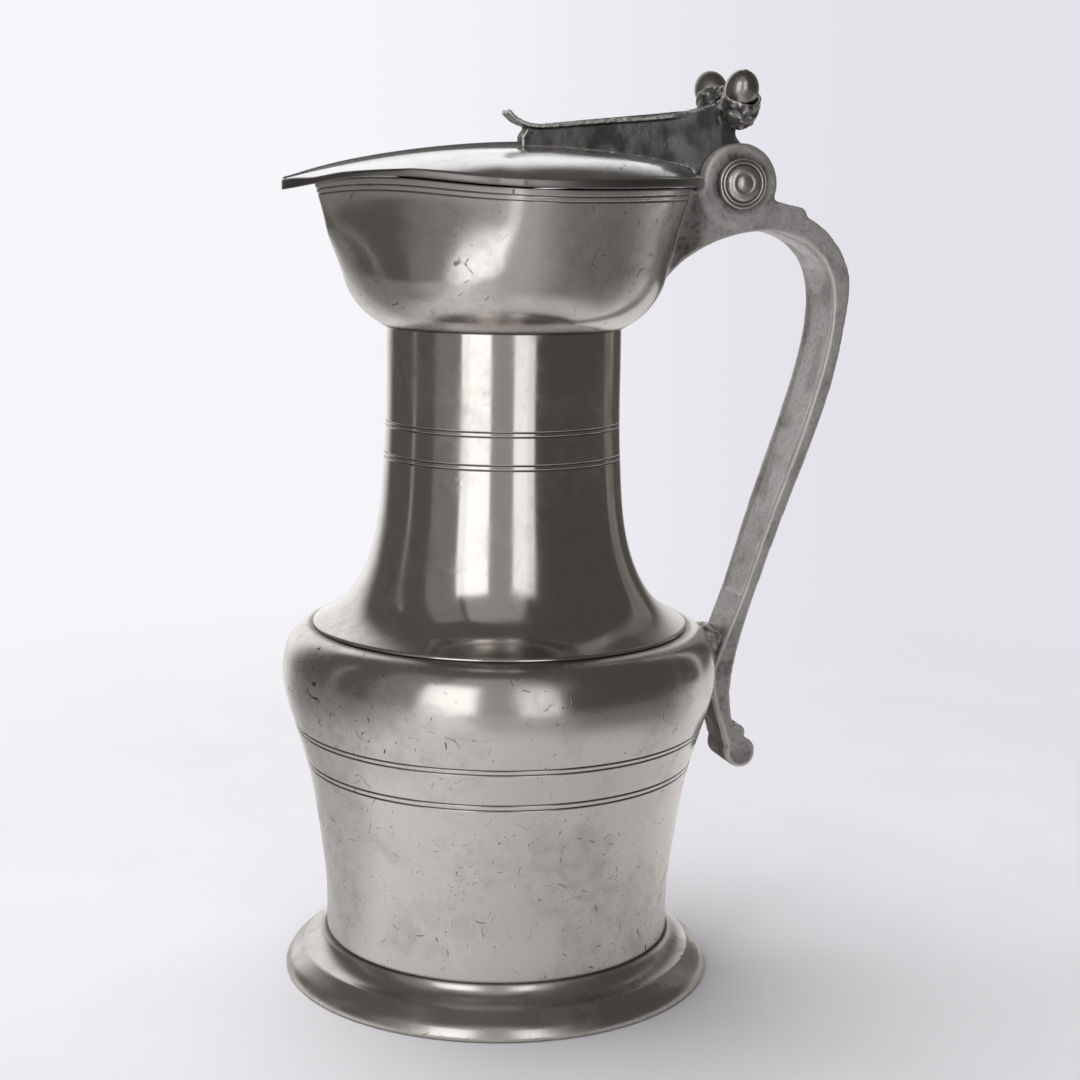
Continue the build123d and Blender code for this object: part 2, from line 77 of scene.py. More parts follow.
class Slot(Enum):
    """The record's two finishes."""

    POLISHED = "pewter_polished"
    CAST = "pewter_cast"


# Curves


def smooth_run(knots: Sequence[Point], step: float) -> list[Point]:
    """Draws a smooth curve through a few points.

    Args:
        knots: The points, in millimetres, in order.
        step: The distance between the points that come back.

    Returns:
        Points close together on a curve whose bend changes evenly.
    """
    spots = np.array(knots, float)
    gaps = np.hypot(*np.diff(spots, axis=0).T)
    count = len(spots)
    matrix = np.eye(count)
    right = np.zeros((count, 2))
    for index in range(1, count - 1):
        before, after = gaps[index - 1], gaps[index]
        matrix[index, index - 1 : index + 2] = before, 2 * (before + after), after
        climb = (spots[index + 1] - spots[index]) / after
        right[index] = 6 * (climb - (spots[index] - spots[index - 1]) / before)
    bends = np.linalg.solve(matrix, right)
    run = []
    for index, gap in enumerate(gaps):
        parts = max(1, round(gap / step))
        for part in range(parts):
            far = gap * part / parts
            near = gap - far
            spot = (bends[index] * near**3 + bends[index + 1] * far**3) / (6 * gap)
            spot += (spots[index] / gap - bends[index] * gap / 6) * near
            spot += (spots[index + 1] / gap - bends[index + 1] * gap / 6) * far
            run.append(tuple(spot.tolist()))
    return run + [tuple(spots[-1].tolist())]


def with_lines(run: list[Point], heights: Sequence[float], width: float, depth: float) -> list[Point]:
    """Cuts turned lines into a rising run of points.

    Args:
        run: Radius and height, from low to high.
        heights: Where the lines lie.
        width: The width of a line.
        depth: How deep its floor lies.

    Returns:
        The run with the lines' edges and floors in it.
    """
    half = width / 2
    lip = half + 0.1
    floor_half = 0.2 * half
    for height in heights:
        radii, levels = zip(*run)
        floor = float(np.interp(height, levels, radii)) - depth
        edges = [height + off for off in (-lip, -half, half, lip)]
        cut = [(float(np.interp(edge, levels, radii)), edge) for edge in edges]
        cut[2:2] = [(floor, height - floor_half), (floor, height + floor_half)]
        low = [spot for spot in run if spot[1] < height - lip]
        high = [spot for spot in run if spot[1] > height + lip]
        run = low + cut + high
    return run


def smooth_step(value: float, low: float, high: float) -> float:
    """Rises smoothly from 0 at low to 1 at high."""
    share = min(1.0, max(0.0, (value - low) / (high - low)))
    return share * share * (3 - 2 * share)


def in_lines(height: float, lines: Sequence[float], reach: float) -> float:
    """Returns how deep a height lies in one of the turned lines, from 0 to 1."""
    return max(smooth_step(abs(height - line), reach, 0.1) for line in lines)


def ring_spot(radius: float, turn: float, height: float) -> Vector:
    """Returns a point, in metres, from millimetres and an angle in radians."""
    return Vector((radius * math.cos(turn), radius * math.sin(turn), height)) * MM


def polar(radius: float, degrees: float) -> Point:
    """Returns a point from its radius and its angle in degrees."""
    return radius * math.cos(math.radians(degrees)), radius * math.sin(math.radians(degrees))


# Meshes


def finish_mesh(name: str, bm: Shell, outwards: bool = True) -> Piece:
    """Turns a bmesh into a smooth-shaded object at the origin.

    Args:
        name: The piece's name.
        bm: The bmesh, in metres, which is freed.
        outwards: Whether its normals are worked out again.

    Returns:
        The new object.
    """
    bmesh.ops.remove_doubles(bm, verts=bm.verts, dist=1e-7)
    if outwards:
        bmesh.ops.recalc_face_normals(bm, faces=bm.faces)
    mesh = bpy.data.meshes.new(name)
    bm.to_mesh(mesh)
    bm.free()
    mesh.shade_smooth()
    piece = bpy.data.objects.new(name, mesh)
    bpy.context.scene.collection.objects.link(piece)
    return piece


def spin_outline(
    bm: Shell,
    outline: Sequence[Point],
    steps: int,
    center: Vector,
    axis: Vector,
) -> None:
    """Turns a closed outline about an axis that is square to X, as on a lathe.

    Args:
        bm: The bmesh to add the shell to.
        outline: Distance from the axis and place along it, in millimetres, as a closed loop.
        steps: The number of steps round.
        center: A point on the axis, in metres.
        axis: The axis.
    """
    side = Vector((1, 0, 0))
    verts = [bm.verts.new(center + side * r * MM + axis * z * MM) for r, z in outline]
    edges = [bm.edges.new(pair) for pair in zip(verts, verts[1:] + verts[:1])]
    bmesh.ops.spin(
        bm,
        geom=verts + edges,
        cent=center,
        axis=axis,
        angle=math.tau,
        steps=steps,
        use_merge=True,
    )


def turned(
    name: str,
    outline: Sequence[Point],
    steps: int = 256,
    center: Vector = MIDDLE,
    axis: Vector = UPWARDS,
) -> Piece:
    """Makes one turned piece from a closed outline, which spin_outline turns, and returns it."""
    bm = bmesh.new()
    spin_outline(bm, outline, steps, center, axis)
    return finish_mesh(name, bm)


def extrude_ring(bm: Shell, edges: Sequence[Edge]) -> tuple[list[Edge], dict[Vert, Vert]]:
    """Extrudes a ring of edges once.

    Args:
        bm: The bmesh.
        edges: The ring's edges.

    Returns:
        The new ring's edges, and for each point of the old ring its new one.
    """
    grown = bmesh.ops.extrude_edge_only(bm, edges=edges)["geom"]
    fresh = {item for item in grown if isinstance(item, Vert)}
    sides = [item for item in grown if isinstance(item, Edge)]
    partners = {}
    for vert in fresh:
        for edge in vert.link_edges:
            other = edge.other_vert(vert)
            if other not in fresh:
                partners[other] = vert
    return [edge for edge in sides if fresh.issuperset(edge.verts)], partners


def grow_rings(
    bm: Shell,
    steps: int,
    rings: Sequence[Callable[[float], Vector]],
) -> list[list[Edge]]:
    """Grows a wall ring by ring from a circle.

    Args:
        bm: The bmesh to grow it in.
        steps: The number of points of a ring.
        rings: For each ring, a function from the angle to a point in metres.

    Returns:
        The edges of the first ring and of the last.
    """
    verts = bmesh.ops.create_circle(bm, cap_ends=False, radius=1.0, segments=steps)["verts"]
    edges = list({edge for vert in verts for edge in vert.link_edges})
    angles = {vert: math.atan2(vert.co.y, vert.co.x) for vert in verts}
    for vert in verts:
        vert.co = rings[0](angles[vert])
    first = edges
    for ring in rings[1:]:
        edges, partners = extrude_ring(bm, edges)
        angles = {partners[vert]: angle for vert, angle in angles.items()}
        for vert, angle in angles.items():
            vert.co = ring(angle)
    return [first, edges]


def merge_ring(bm: Shell, edges: Sequence[Edge]) -> None:
    """Draws a small closed ring together to one point at its middle."""
    verts = list({vert for edge in edges for vert in edge.verts})
    middle = sum((vert.co for vert in verts), Vector()) / len(verts)
    bmesh.ops.pointmerge(bm, verts=verts, merge_co=middle)


def bar(bm: Shell, sections: Sequence[Sequence[Vector]]) -> None:
    """Draws a closed bar through sections that each have the same number of points."""
    verts = [bm.verts.new(spot) for spot in sections[0]]
    edges = [bm.edges.new(pair) for pair in zip(verts, verts[1:] + verts[:1])]
    bm.faces.new(verts)
    for section in sections[1:]:
        edges, partners = extrude_ring(bm, edges)
        verts = [partners[vert] for vert in verts]
        for vert, spot in zip(verts, section):
            vert.co = spot
    bm.faces.new(list(reversed(verts)))


@dataclass(frozen=True)
class Casting:
    """How a rough casting is taken from its solid.

    Attributes:
        voxel: The size of the cells that round its edges, in millimetres.
        passes: How often its surface is evened out.
        lumps: The height of its unevenness, in millimetres.
        lump_size: The width of its unevenness, in millimetres.
        softer_passes: How often its worn places are evened out as well.
        softer: Tells whether a point, in millimetres, lies in a worn place.
    """

    voxel: float
    passes: int
    lumps: float
    lump_size: float
    softer_passes: int = 0
    softer: Callable[[Vector], bool] = lambda spot: False

    def take(self, node: str, name: str) -> Piece:
        """Makes a casting, called name, from a copy of a node's solid and returns it."""
        bm = bmesh.new()
        bm.from_mesh(frame["nodes"][node].data)
        bmesh.ops.remove_doubles(bm, verts=bm.verts, dist=2e-6)
        return self.soften(name, bm)

    def soften(self, name: str, bm: Shell) -> Piece:
        """Joins closed shells to one casting and rounds its edges.

        Args:
            name: The piece's name.
            bm: The shells, which are freed.

        Returns:
            The new object.
        """
        rough = finish_mesh(name + "_rough", bm, outwards=False)
        remesh = rough.modifiers.new("cells", "REMESH")
        remesh.mode = "VOXEL"
        remesh.voxel_size = self.voxel * MM
        seen = rough.evaluated_get(bpy.context.evaluated_depsgraph_get())
        fine = bmesh.new()
        fine.from_mesh(bpy.data.meshes.new_from_object(seen))
        bpy.data.objects.remove(rough)
        worn = [vert for vert in fine.verts if self.softer(vert.co / MM)]
        axes = dict(use_axis_x=True, use_axis_y=True, use_axis_z=True)
        for verts, passes in ((list(fine.verts), self.passes), (worn, self.softer_passes)):
            for _ in range(passes):
                bmesh.ops.smooth_vert(fine, verts=verts, factor=0.5, **axes)
        fine.normal_update()
        scale = 1 / (self.lump_size * MM)
        for vert in fine.verts:
            vert.co += vert.normal * self.lumps * MM * noise.noise(vert.co * scale)
        return finish_mesh(name, fine, outwards=False)


def edge_bends(mesh: bpy.types.Mesh) -> list[float]:
    """Returns how far each point stands out from its neighbours, below 0 in a hollow."""
    verts = mesh.vertices
    bends = [0.0] * len(verts)
    for spread in range(3):
        sums = [0.0] * len(verts)
        counts = [0] * len(verts)
        for edge in mesh.edges:
            for first, second in (edge.vertices, reversed(edge.vertices)):
                if spread:
                    sums[first] += bends[second]
                else:
                    way = (verts[second].co - verts[first].co).normalized()
                    sums[first] -= way.dot(verts[first].normal)
                counts[first] += 1
        bends = [total / max(count, 1) for total, count in zip(sums, counts)]
    return bends


def add_dirt_wear_and_painted_light(mesh: bpy.types.Mesh, dirt: DirtAndPaintedLight, worn: float) -> None:
    """Stores on each point how much dirt and painted shade lies there, from 0 to 1, or below 0 how
    bright it is worn or given a painted highlight.

    Args:
        mesh: The piece's mesh.
        dirt: Returns the dirt and painted light at a point in millimetres.
        worn: How bright its outer edges are worn and how dark the painted shade in its hollows is, from
            0 to 1.
    """
    layer = mesh.attributes.new("dirt_wear_and_painted_light", "FLOAT", "POINT")
    bends = edge_bends(mesh) if worn else [0.0] * len(mesh.vertices)
    for vert, bend in zip(mesh.vertices, bends):
        edge = worn * smooth_step(bend, 0.025, 0.085)
        # Painted shade: hollows are darkened where shade falls; the bright outer edges are wear.
        hollow = worn * smooth_step(-bend, 0.03, 0.12)
        layer.data[vert.index].value = dirt(vert.co / MM) * (1 - edge) + 0.7 * hollow - edge


def dress(piece: Piece, material: Material) -> None:
    """Gives a piece one material."""
    piece.data.materials.clear()
    piece.data.materials.append(material)


def fit_out(
    piece: Piece,
    material: Material,
    body: Body,
    slot: Slot,
    *nodes: str,
    dirt: DirtAndPaintedLight | None = None,
    worn: float = 0.0,
) -> None:
    """Dresses a piece, rides it on its body and hides the nodes that it stands for.

    Args:
        piece: The piece.
        material: Its material.
        body: The body that it rides on.
        slot: Its finish in the record; not used.
        *nodes: The nodes that it stands for.
        dirt: Returns the dirt and painted light at a point in millimetres.
        worn: How bright its outer edges are worn and how dark the painted shade in its hollows is, from
            0 to 1.
    """
    if dirt:
        add_dirt_wear_and_painted_light(piece.data, dirt, worn)
    dress(piece, material)
    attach(piece, body.value)
    if nodes:
        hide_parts(*nodes)
    log.info("%s: %d faces", piece.name, len(piece.data.polygons))


# Finishes


class Nodes:
    """Adds and links the nodes of one material or world."""

    def __init__(self, tree: bpy.types.NodeTree) -> None:
        """Clears the tree to fill."""
        self.tree = tree
        tree.nodes.clear()

    def add(self, kind: str, settings: dict | None = None, **inputs: object) -> bpy.types.Node:
        """Adds a node.

        Args:
            kind: Its type's name after ShaderNode.
            settings: Its own properties.
            **inputs: Values or sockets for its inputs, with spaces as underscores.

        Returns:
            The node.
        """
        node = self.tree.nodes.new("ShaderNode" + kind)
        for key, value in (settings or {}).items():
            setattr(node, key, value)
        for key, value in inputs.items():
            self.feed(node.inputs[key.replace("_", " ")], value)
        return node

    def feed(self, socket: Socket, value: object) -> None:
        """Links a socket to an input or sets its value."""
        if isinstance(value, Socket):
            self.tree.links.new(value, socket)
        else:
            socket.default_value = value

    def math(self, operation: str, *values: object) -> Socket:
        """Adds a Math node and returns its result."""
        node = self.add("Math", {"operation": operation})
        for socket, value in zip(node.inputs, values):
            self.feed(socket, value)
        return node.outputs[0]

    def plus(self, first: object, second: object) -> Socket:
        """Returns the sum of two values."""
        return self.math("ADD", first, second)

    def less(self, first: object, second: object) -> Socket:
        """Returns the first value less the second."""
        return self.math("SUBTRACT", first, second)

    def times(self, first: object, second: object) -> Socket:
        """Returns the product of two values."""
        return self.math("MULTIPLY", first, second)

    def most(self, first: Socket, *others: Socket) -> Socket:
        """Returns the highest of some values."""
        for other in others:
            first = self.math("MAXIMUM", first, other)
        return first

    def ramp(self, value: Socket, low: float, high: float, start: float = 0, end: float = 1) -> Socket:
        """Maps a value from low..high smoothly to start..end and returns the result."""
        node = self.add("MapRange", {"interpolation_type": "SMOOTHSTEP"})
        for socket, given in zip(node.inputs, (value, low, high, start, end)):
            self.feed(socket, given)
        return node.outputs[0]

    def noise(self, coords: Socket, size: float, detail: float = 3.0, rough: float = 0.5) -> Socket:
        """Adds a noise whose features are size metres wide and returns its value."""
        node = self.add("TexNoise", None, Vector=coords, Scale=1 / size, Detail=detail, Roughness=rough)
        return node.outputs[0]

    def blend(self, share: object, first: object, second: object) -> Socket:
        """Mixes two colours, each a socket or three values, and returns the result."""
        node = self.add("Mix", {"data_type": "RGBA"})
        self.feed(node.inputs[0], share)
        for socket, color in ((node.inputs[6], first), (node.inputs[7], second)):
            self.feed(socket, color if isinstance(color, Socket) else (*color, 1))
        return node.outputs[2]

    def dot(self, way: Socket, other: Vector) -> Socket:
        """Compares a direction with another one and returns their product."""
        node = self.add("VectorMath", {"operation": "DOT_PRODUCT"})
        self.feed(node.inputs[0], way)
        node.inputs[1].default_value = other
        return node.outputs["Value"]

    def bump(self, height: Socket, rise: float, under: Socket | None = None) -> Socket:
        """Adds a Bump node of a height in millimetres over another normal."""
        node = self.add("Bump", None, Height=height, Strength=1.0, Distance=rise * MM)
        if under is not None:
            self.feed(node.inputs["Normal"], under)
        return node.outputs[0]

    def show(self, shader: Socket, kind: str = "OutputMaterial") -> None:
        """Ends the tree in its output."""
        self.feed(self.add(kind).inputs["Surface"], shader)


@dataclass(frozen=True)
class Pewter:
    """A pewter finish.

    Attributes:
        name: The material's name.
        color: Its clean colour.
        tarnish: The colour of its pits, dirt, dull patches and painted shade.
        bright: The colour of its worn edges and painted highlights.
        roughness: The roughness of its smooth places.
        dull_roughness: The roughness of its dull patches.
        waves: The height of its long unevenness, in millimetres.
        rings: The height of the lathe's rings, in millimetres.
        scratches: How much its scratches show, from 0 to 1.
        pits: How much of its surface has dark pits, from 0 to 1.
        grain: The height of its cast grain, in millimetres.
        grain_size: The width of its cast grain, in millimetres.
        hollows: How dark the hollows of its cast grain are, from 0 to 1.
        brushed: How far the lathe's marks draw out its highlights, from 0 to 1.
        metal: How far it is bare metal, less on the dull skin of a casting.
        cloud_size: The width of its broad dull patches, in millimetres.
        mottle_size: The width of its small dull patches, in millimetres.
        wave_size: The width of its long unevenness, in millimetres.
        crowd_size: The width of the places where its pits crowd, in millimetres.
        cut: The depth of its pits and scratches, in millimetres.
    """

    name: str
    color: Triple = (0.63, 0.605, 0.575)
    tarnish: Triple = (0.10, 0.09, 0.08)
    bright: Triple = (0.74, 0.72, 0.70)
    roughness: float = 0.16
    dull_roughness: float = 0.26
    waves: float = 0.05
    rings: float = 0.0004
    scratches: float = 0.5
    pits: float = 0.3
    grain: float = 0.0
    grain_size: float = 0.8
    hollows: float = 0.3
    brushed: float = 0.0
    metal: float = 1.0
    cloud_size: float = 28.0
    mottle_size: float = 4.0
    wave_size: float = 35.0
    crowd_size: float = 9.0
    cut: float = 0.02

    def make(self) -> Material:
        """Builds the material and returns it."""
        material = bpy.data.materials.new(self.name)
        material.use_nodes = True
        desk = Nodes(material.node_tree)
        coords = desk.add("TexCoord").outputs["Object"]
        # The attribute holds dirt and painted shade above 0, and wear and painted highlights below 0.
        dirt_wear_and_painted_light = desk.add("Attribute", {"attribute_name": "dirt_wear_and_painted_light"}).outputs["Fac"]
        cloud = desk.noise(coords, self.cloud_size * MM, 5.0, 0.6)
        mottle = desk.noise(coords, self.mottle_size * MM, 4.0, 0.6)
        dull = desk.ramp(cloud, 0.42, 0.62)
        scratch = self.scratch_share(desk, dull)
        pit = self.pit_share(desk, coords, cloud)
        dark = desk.most(pit, dirt_wear_and_painted_light, scratch)
        pebble = None
        if self.grain:
            pebble = desk.noise(coords, self.grain_size * MM, 4.0, 0.65)
            dark = desk.most(dark, desk.ramp(pebble, 0.46, 0.3, 0.0, self.hollows))
        stain = desk.times(desk.ramp(mottle, 0.38, 0.7), desk.times(dull, 0.2))
        tint = desk.blend(desk.most(dark, stain), self.color, self.tarnish)
        # Below 0 the attribute brightens worn edges and painted highlights.
        worn = desk.ramp(dirt_wear_and_painted_light, 0.0, -1.0)
        tint = desk.blend(worn, tint, self.bright)
        rough = desk.ramp(desk.plus(desk.times(mottle, 0.35), dull), 0.0, 1.4)
        rough = desk.ramp(rough, 0.0, 1.0, self.roughness, self.dull_roughness)
        rough = desk.plus(rough, desk.times(dark, 0.25))
        rough = desk.less(rough, desk.times(worn, 0.1))
        shader = desk.add("BsdfPrincipled", None, Base_Color=tint, Metallic=self.metal, Roughness=rough)
        if self.brushed:
            shader.inputs["Anisotropic"].default_value = self.brushed
            shader.inputs["Anisotropic Rotation"].default_value = 0.25
            tangent = desk.add("Tangent", {"direction_type": "RADIAL", "axis": "Z"})
            desk.feed(shader.inputs["Tangent"], tangent.outputs[0])
        desk.feed(shader.inputs["Normal"], self.relief(desk, coords, pebble, desk.most(scratch, pit)))
        desk.show(shader.outputs[0])
        return material

    def scratch_share(self, desk: Nodes, dull: Socket) -> Socket:
        """Draws fine scratches, as short pieces of the lines where a noise is level.

        Args:
            desk: The nodes to add to.
            dull: Where the surface is dull, which has more of them.

        Returns:
            How much of a scratch lies at a point.
        """
        lines = []
        piece_size = 0.0028
        for move, size, width in ((0.1, 0.015, 0.0042), (0.3, 0.024, 0.0028), (0.7, 0.010, 0.005)):
            coords = desk.add("TexCoord").outputs["Object"]
            turn = (move, 2.0 * move, 5.0 * move)
            coords = desk.add("Mapping", None, Vector=coords, Rotation=turn).outputs[0]
            off = desk.math("ABSOLUTE", desk.less(desk.noise(coords, size, 2.0, 0.3), 0.5))
            part = desk.ramp(desk.noise(coords, piece_size, 2.0, 0.5), 0.55, 0.62)
            lines.append(desk.times(desk.ramp(off, width, 0.4 * width), part))
        worn = desk.ramp(dull, 0.0, 1.0, 0.35, 1.0)
        return desk.times(desk.times(desk.most(*lines), worn), self.scratches)

    def pit_share(self, desk: Nodes, coords: Socket, cloud: Socket) -> Socket:
        """Scatters dark pits of three sizes, thicker where the surface is worn.

        Args:
            desk: The nodes to add to.
            coords: The object's coordinates.
            cloud: The broad patches.

        Returns:
            How much of a pit lies at a point.
        """
        ragged = desk.noise(coords, 0.0006, 3.0, 0.7)
        crowd = desk.ramp(desk.noise(coords, self.crowd_size * MM, 4.0, 0.65), 0.42, 0.68)
        crowd = desk.plus(crowd, desk.times(cloud, 0.5))
        holes = []
        for size, spot, rarer in ((0.0037, 0.06, 0.0), (0.0016, 0.10, 0.25), (0.0009, 0.15, 0.45)):
            cells = desk.add("TexVoronoi", None, Vector=coords, Scale=1 / size)
            near = desk.plus(cells.outputs["Distance"], desk.times(ragged, 0.4))
            hole = desk.ramp(near, 0.22 + spot, 0.16 + spot)
            chosen = desk.add("SeparateColor", None, Color=cells.outputs["Color"]).outputs[0]
            least = 2.1 + rarer - self.pits
            wanted = desk.ramp(desk.plus(chosen, crowd), least, least + 0.05)
            holes.append(desk.times(hole, wanted))
        return desk.most(*holes)

    def relief(self, desk: Nodes, coords: Socket, pebble: Socket | None, cuts: Socket) -> Socket:
        """Adds the surface's waves, rings, grain, scratches and pits.

        Args:
            desk: The nodes to add to.
            coords: The object's coordinates.
            pebble: The cast grain, where there is any.
            cuts: How much of a scratch or a pit lies at a point.

        Returns:
            The normal.
        """
        normal = desk.bump(desk.noise(coords, self.wave_size * MM, 2.0, 0.4), self.waves)
        if self.rings:
            height = desk.add("SeparateXYZ", None, Vector=coords).outputs["Z"]
            ring = desk.add("TexNoise", {"noise_dimensions": "1D"}, W=height, Scale=1400.0, Detail=3.0)
            normal = desk.bump(ring.outputs[0], self.rings, normal)
        if pebble:
            normal = desk.bump(pebble, self.grain, normal)
        return desk.bump(desk.times(cuts, -1.0), self.cut, normal)


BURNISHED = Pewter(
    "pewter_burnished",
    roughness=0.12,
    dull_roughness=0.2,
    pits=0.4,
    scratches=0.3,
    brushed=0.35,
)
BOWL_PEWTER = Pewter("pewter_bowl", roughness=0.18, dull_roughness=0.28, pits=0.6, scratches=0.8)
SATIN = Pewter(
    "pewter_satin",
    roughness=0.2,
    dull_roughness=0.31,
    pits=0.85,
    scratches=1.0,
    waves=0.06,
    brushed=0.6,
)
FOOT_PEWTER = Pewter(
    "pewter_foot",
    color=(0.62, 0.60, 0.57),
    roughness=0.24,
    dull_roughness=0.36,
    pits=0.75,
    scratches=0.7,
    brushed=0.3,
)
LID_PEWTER = Pewter(
    "pewter_lid",
    color=(0.69, 0.68, 0.675),
    roughness=0.13,
    dull_roughness=0.2,
    pits=0.55,
    rings=0.0,
)
STRAP_CAST = Pewter(
    "pewter_cast",
    color=(0.6, 0.585, 0.575),
    tarnish=(0.12, 0.11, 0.1),
    metal=0.6,
    roughness=0.36,
    dull_roughness=0.48,
    pits=0.5,
    scratches=0.3,
    rings=0.0,
    grain=0.2,
    grain_size=0.6,
    hollows=0.5,
)
ROUGH_CAST = Pewter(
    "pewter_rough",
    color=(0.34, 0.33, 0.32),
    tarnish=(0.045, 0.042, 0.038),
    metal=0.8,
    roughness=0.26,
    dull_roughness=0.4,
    pits=0.5,
    scratches=0.2,
    rings=0.0,
    grain=0.16,
    grain_size=0.7,
    hollows=0.6,
)
ACORN_PEWTER = Pewter(
    "pewter_acorn",
    color=(0.45, 0.43, 0.4),
    tarnish=(0.13, 0.12, 0.105),
    roughness=0.26,
    dull_roughness=0.38,
    pits=0.6,
    rings=0.0,
    grain=0.012,
)
PIN_PEWTER = Pewter(
    "pewter_pin",
    color=(0.64, 0.62, 0.60),
    tarnish=(0.07, 0.065, 0.06),
    metal=0.95,
    roughness=0.27,
    dull_roughness=0.38,
    pits=0.6,
    scratches=0.6,
    rings=0.0,
)


# Sub-assemblies, in millimetres


@dataclass
class LowerBody:
    """The foot, the floor and the drum.

    Attributes:
        wall: The drum's wall.
        top: The height of the seam with the neck.
        lines: The heights of the turned lines.
        line_width: The width of a turned line.
        line_depth: The depth of a turned line.
        profile: Points of the drum's outer curve.
    """

    wall: float = 2.3
    top: float = 95.0
    lines: tuple[float, ...] = (69.2, 67.9, 59.4, 58.0)
    line_width: float = 0.55
    line_depth: float = 0.3
    profile: tuple[Point, ...] = (
        (46.4, 6.0), (46.4, 14.0), (46.4, 20.4), (48.2, 38.0), (51.3, 56.0), (55.7, 71.0),
        (58.05, 81.5), (56.93, 89.1), (53.28, 94.0), (50.6, 95.0),
    )

    def foot_outline(self) -> list[Point]:
        """Returns the foot's closed section: its edge, ogee, cove, collar and hollow underside."""
        edge = [(57.2, 0.0), (57.5, 0.3), (57.5, 1.0)]
        swell = smooth_run([(57.0, 2.0), (56.4, 3.0), (55.45, 4.0), (54.3, 5.0), (52.9, 6.2)], 0.3)
        cove = smooth_run([(52.3, 6.55), (50.4, 7.15), (48.7, 8.2), (47.5, 9.6), (47.0, 10.8)], 0.3)
        collar = [(46.9, 11.0), (46.7, 11.05), (46.35, 11.0), (46.35, 6.0), (42.5, 6.0)]
        hollow = smooth_run([(42.5, 4.0), (47.0, 3.7), (51.8, 2.6), (54.9, 0.0)], 0.8)
        return edge + swell + [(52.45, 6.5)] + cove + collar + hollow

    def drum_outline(self) -> list[Point]:
        """Returns the drum's closed section with its two pairs of turned lines."""
        outer = smooth_run(self.profile, 0.7)
        outer = with_lines(outer, self.lines, self.line_width, self.line_depth)
        inner = [(r - self.wall, z) for r, z in smooth_run(self.profile[:-2], 2.5)]
        return outer + [(46.5, self.top), (49.5, 93.2)] + inner[::-1]

    def foot_dirt(self, spot: Vector) -> float:
        """Returns the dirt on the foot, where it meets the drum."""
        return 0.8 * smooth_step(spot.z, 10.2, 10.9)

    def drum_dirt(self, spot: Vector) -> float:
        """Returns the dirt on the drum: inside, in its lines, at the seam and at the foot."""
        if math.hypot(spot.x, spot.y) < 46.0:
            return 0.4
        seam = 0.8 * smooth_step(spot.z, self.top - 0.4, self.top)
        foot = 0.75 * smooth_step(spot.z, 11.6, 10.9)
        return max(seam, foot, in_lines(spot.z, self.lines, 0.25))

    def build(self, foot: Material, satin: Material) -> None:
        """Makes the foot and the drum and dresses them and the floor disc.

        Args:
            foot: The finish of the foot and the disc.
            satin: The drum's finish.
        """
        ring = turned("foot", self.foot_outline())
        fit_out(ring, foot, Body.PITCHER, Slot.POLISHED, "foot_ring", dirt=self.foot_dirt)
        drum = turned("drum_shell", self.drum_outline(), 288)
        fit_out(drum, satin, Body.PITCHER, Slot.POLISHED, "drum", dirt=self.drum_dirt)
        dress(frame["nodes"]["base_disc"], foot)


@dataclass
class Neck:
    """The flared neck that stands on the shoulder.

    Attributes:
        wall: Its wall.
        foot: The height of its foot.
        top: The height of the joint with the bowl.
        lines: The heights of the turned lines.
        line_width: The width of a turned line.
        line_depth: The depth of a turned line.
        profile: Points of its outer curve.
    """

    wall: float = 2.2
    foot: float = 95.05
    top: float = 174.0
    lines: tuple[float, ...] = (149.25, 148.1, 140.96, 139.75)
    line_width: float = 0.5
    line_depth: float = 0.25
    profile: tuple[Point, ...] = (
        (49.9, 95.75), (42.8, 100.0), (37.1, 107.8), (33.2, 119.8), (31.5, 136.0),
        (30.9, 152.0), (30.9, 163.0), (30.9, 174.0),
    )

    def outline(self) -> list[Point]:
        """Returns the neck's closed section with its two pairs of turned lines."""
        outer = smooth_run(self.profile, 0.7)
        outer = with_lines(outer, self.lines, self.line_width, self.line_depth)
        inner = [(r - self.wall, z) for r, z in smooth_run(self.profile[1:], 2.0)]
        return [(49.9, self.foot)] + outer + inner[::-1] + [(46.4, self.foot)]

    def dirt(self, spot: Vector) -> float:
        """Returns the dirt on the neck: inside, in its lines and under the bowl."""
        if math.hypot(spot.x, spot.y) < 30.2:
            return 0.45
        under_bowl = 0.85 * smooth_step(spot.z, self.top - 0.7, self.top)
        return max(under_bowl, in_lines(spot.z, self.lines, 0.22))

    def build(self, finish: Material) -> None:
        """Makes and dresses the neck with its finish."""
        piece = turned("neck_shell", self.outline(), 288)
        fit_out(piece, finish, Body.PITCHER, Slot.POLISHED, "neck", dirt=self.dirt)


@dataclass
class Rim:
    """The wave of the rim, which bowl and lid share.

    Attributes:
        height: The rim's mean height.
        gap: The gap under the lid.
        crests: Points of the wave: place along X and height over the mean.
    """

    height: float = 210.0
    gap: float = 0.25
    crests: tuple[Point, ...] = (
        (-75.0, -6.5), (-57.4, -2.0), (-47.0, 0.7), (-35.0, 1.5), (-24.0, 0.55), (-13.0, -0.4),
        (15.0, -0.7), (48.0, 0.2), (80.0, 0.3),
    )

    def __post_init__(self) -> None:
        """Draws the wave once."""
        self.places, self.rises = zip(*smooth_run(self.crests, 0.5))

    def rise(self, x: float) -> float:
        """Returns how far the rim lies above its mean height at x."""
        return float(np.interp(x, self.places, self.rises))


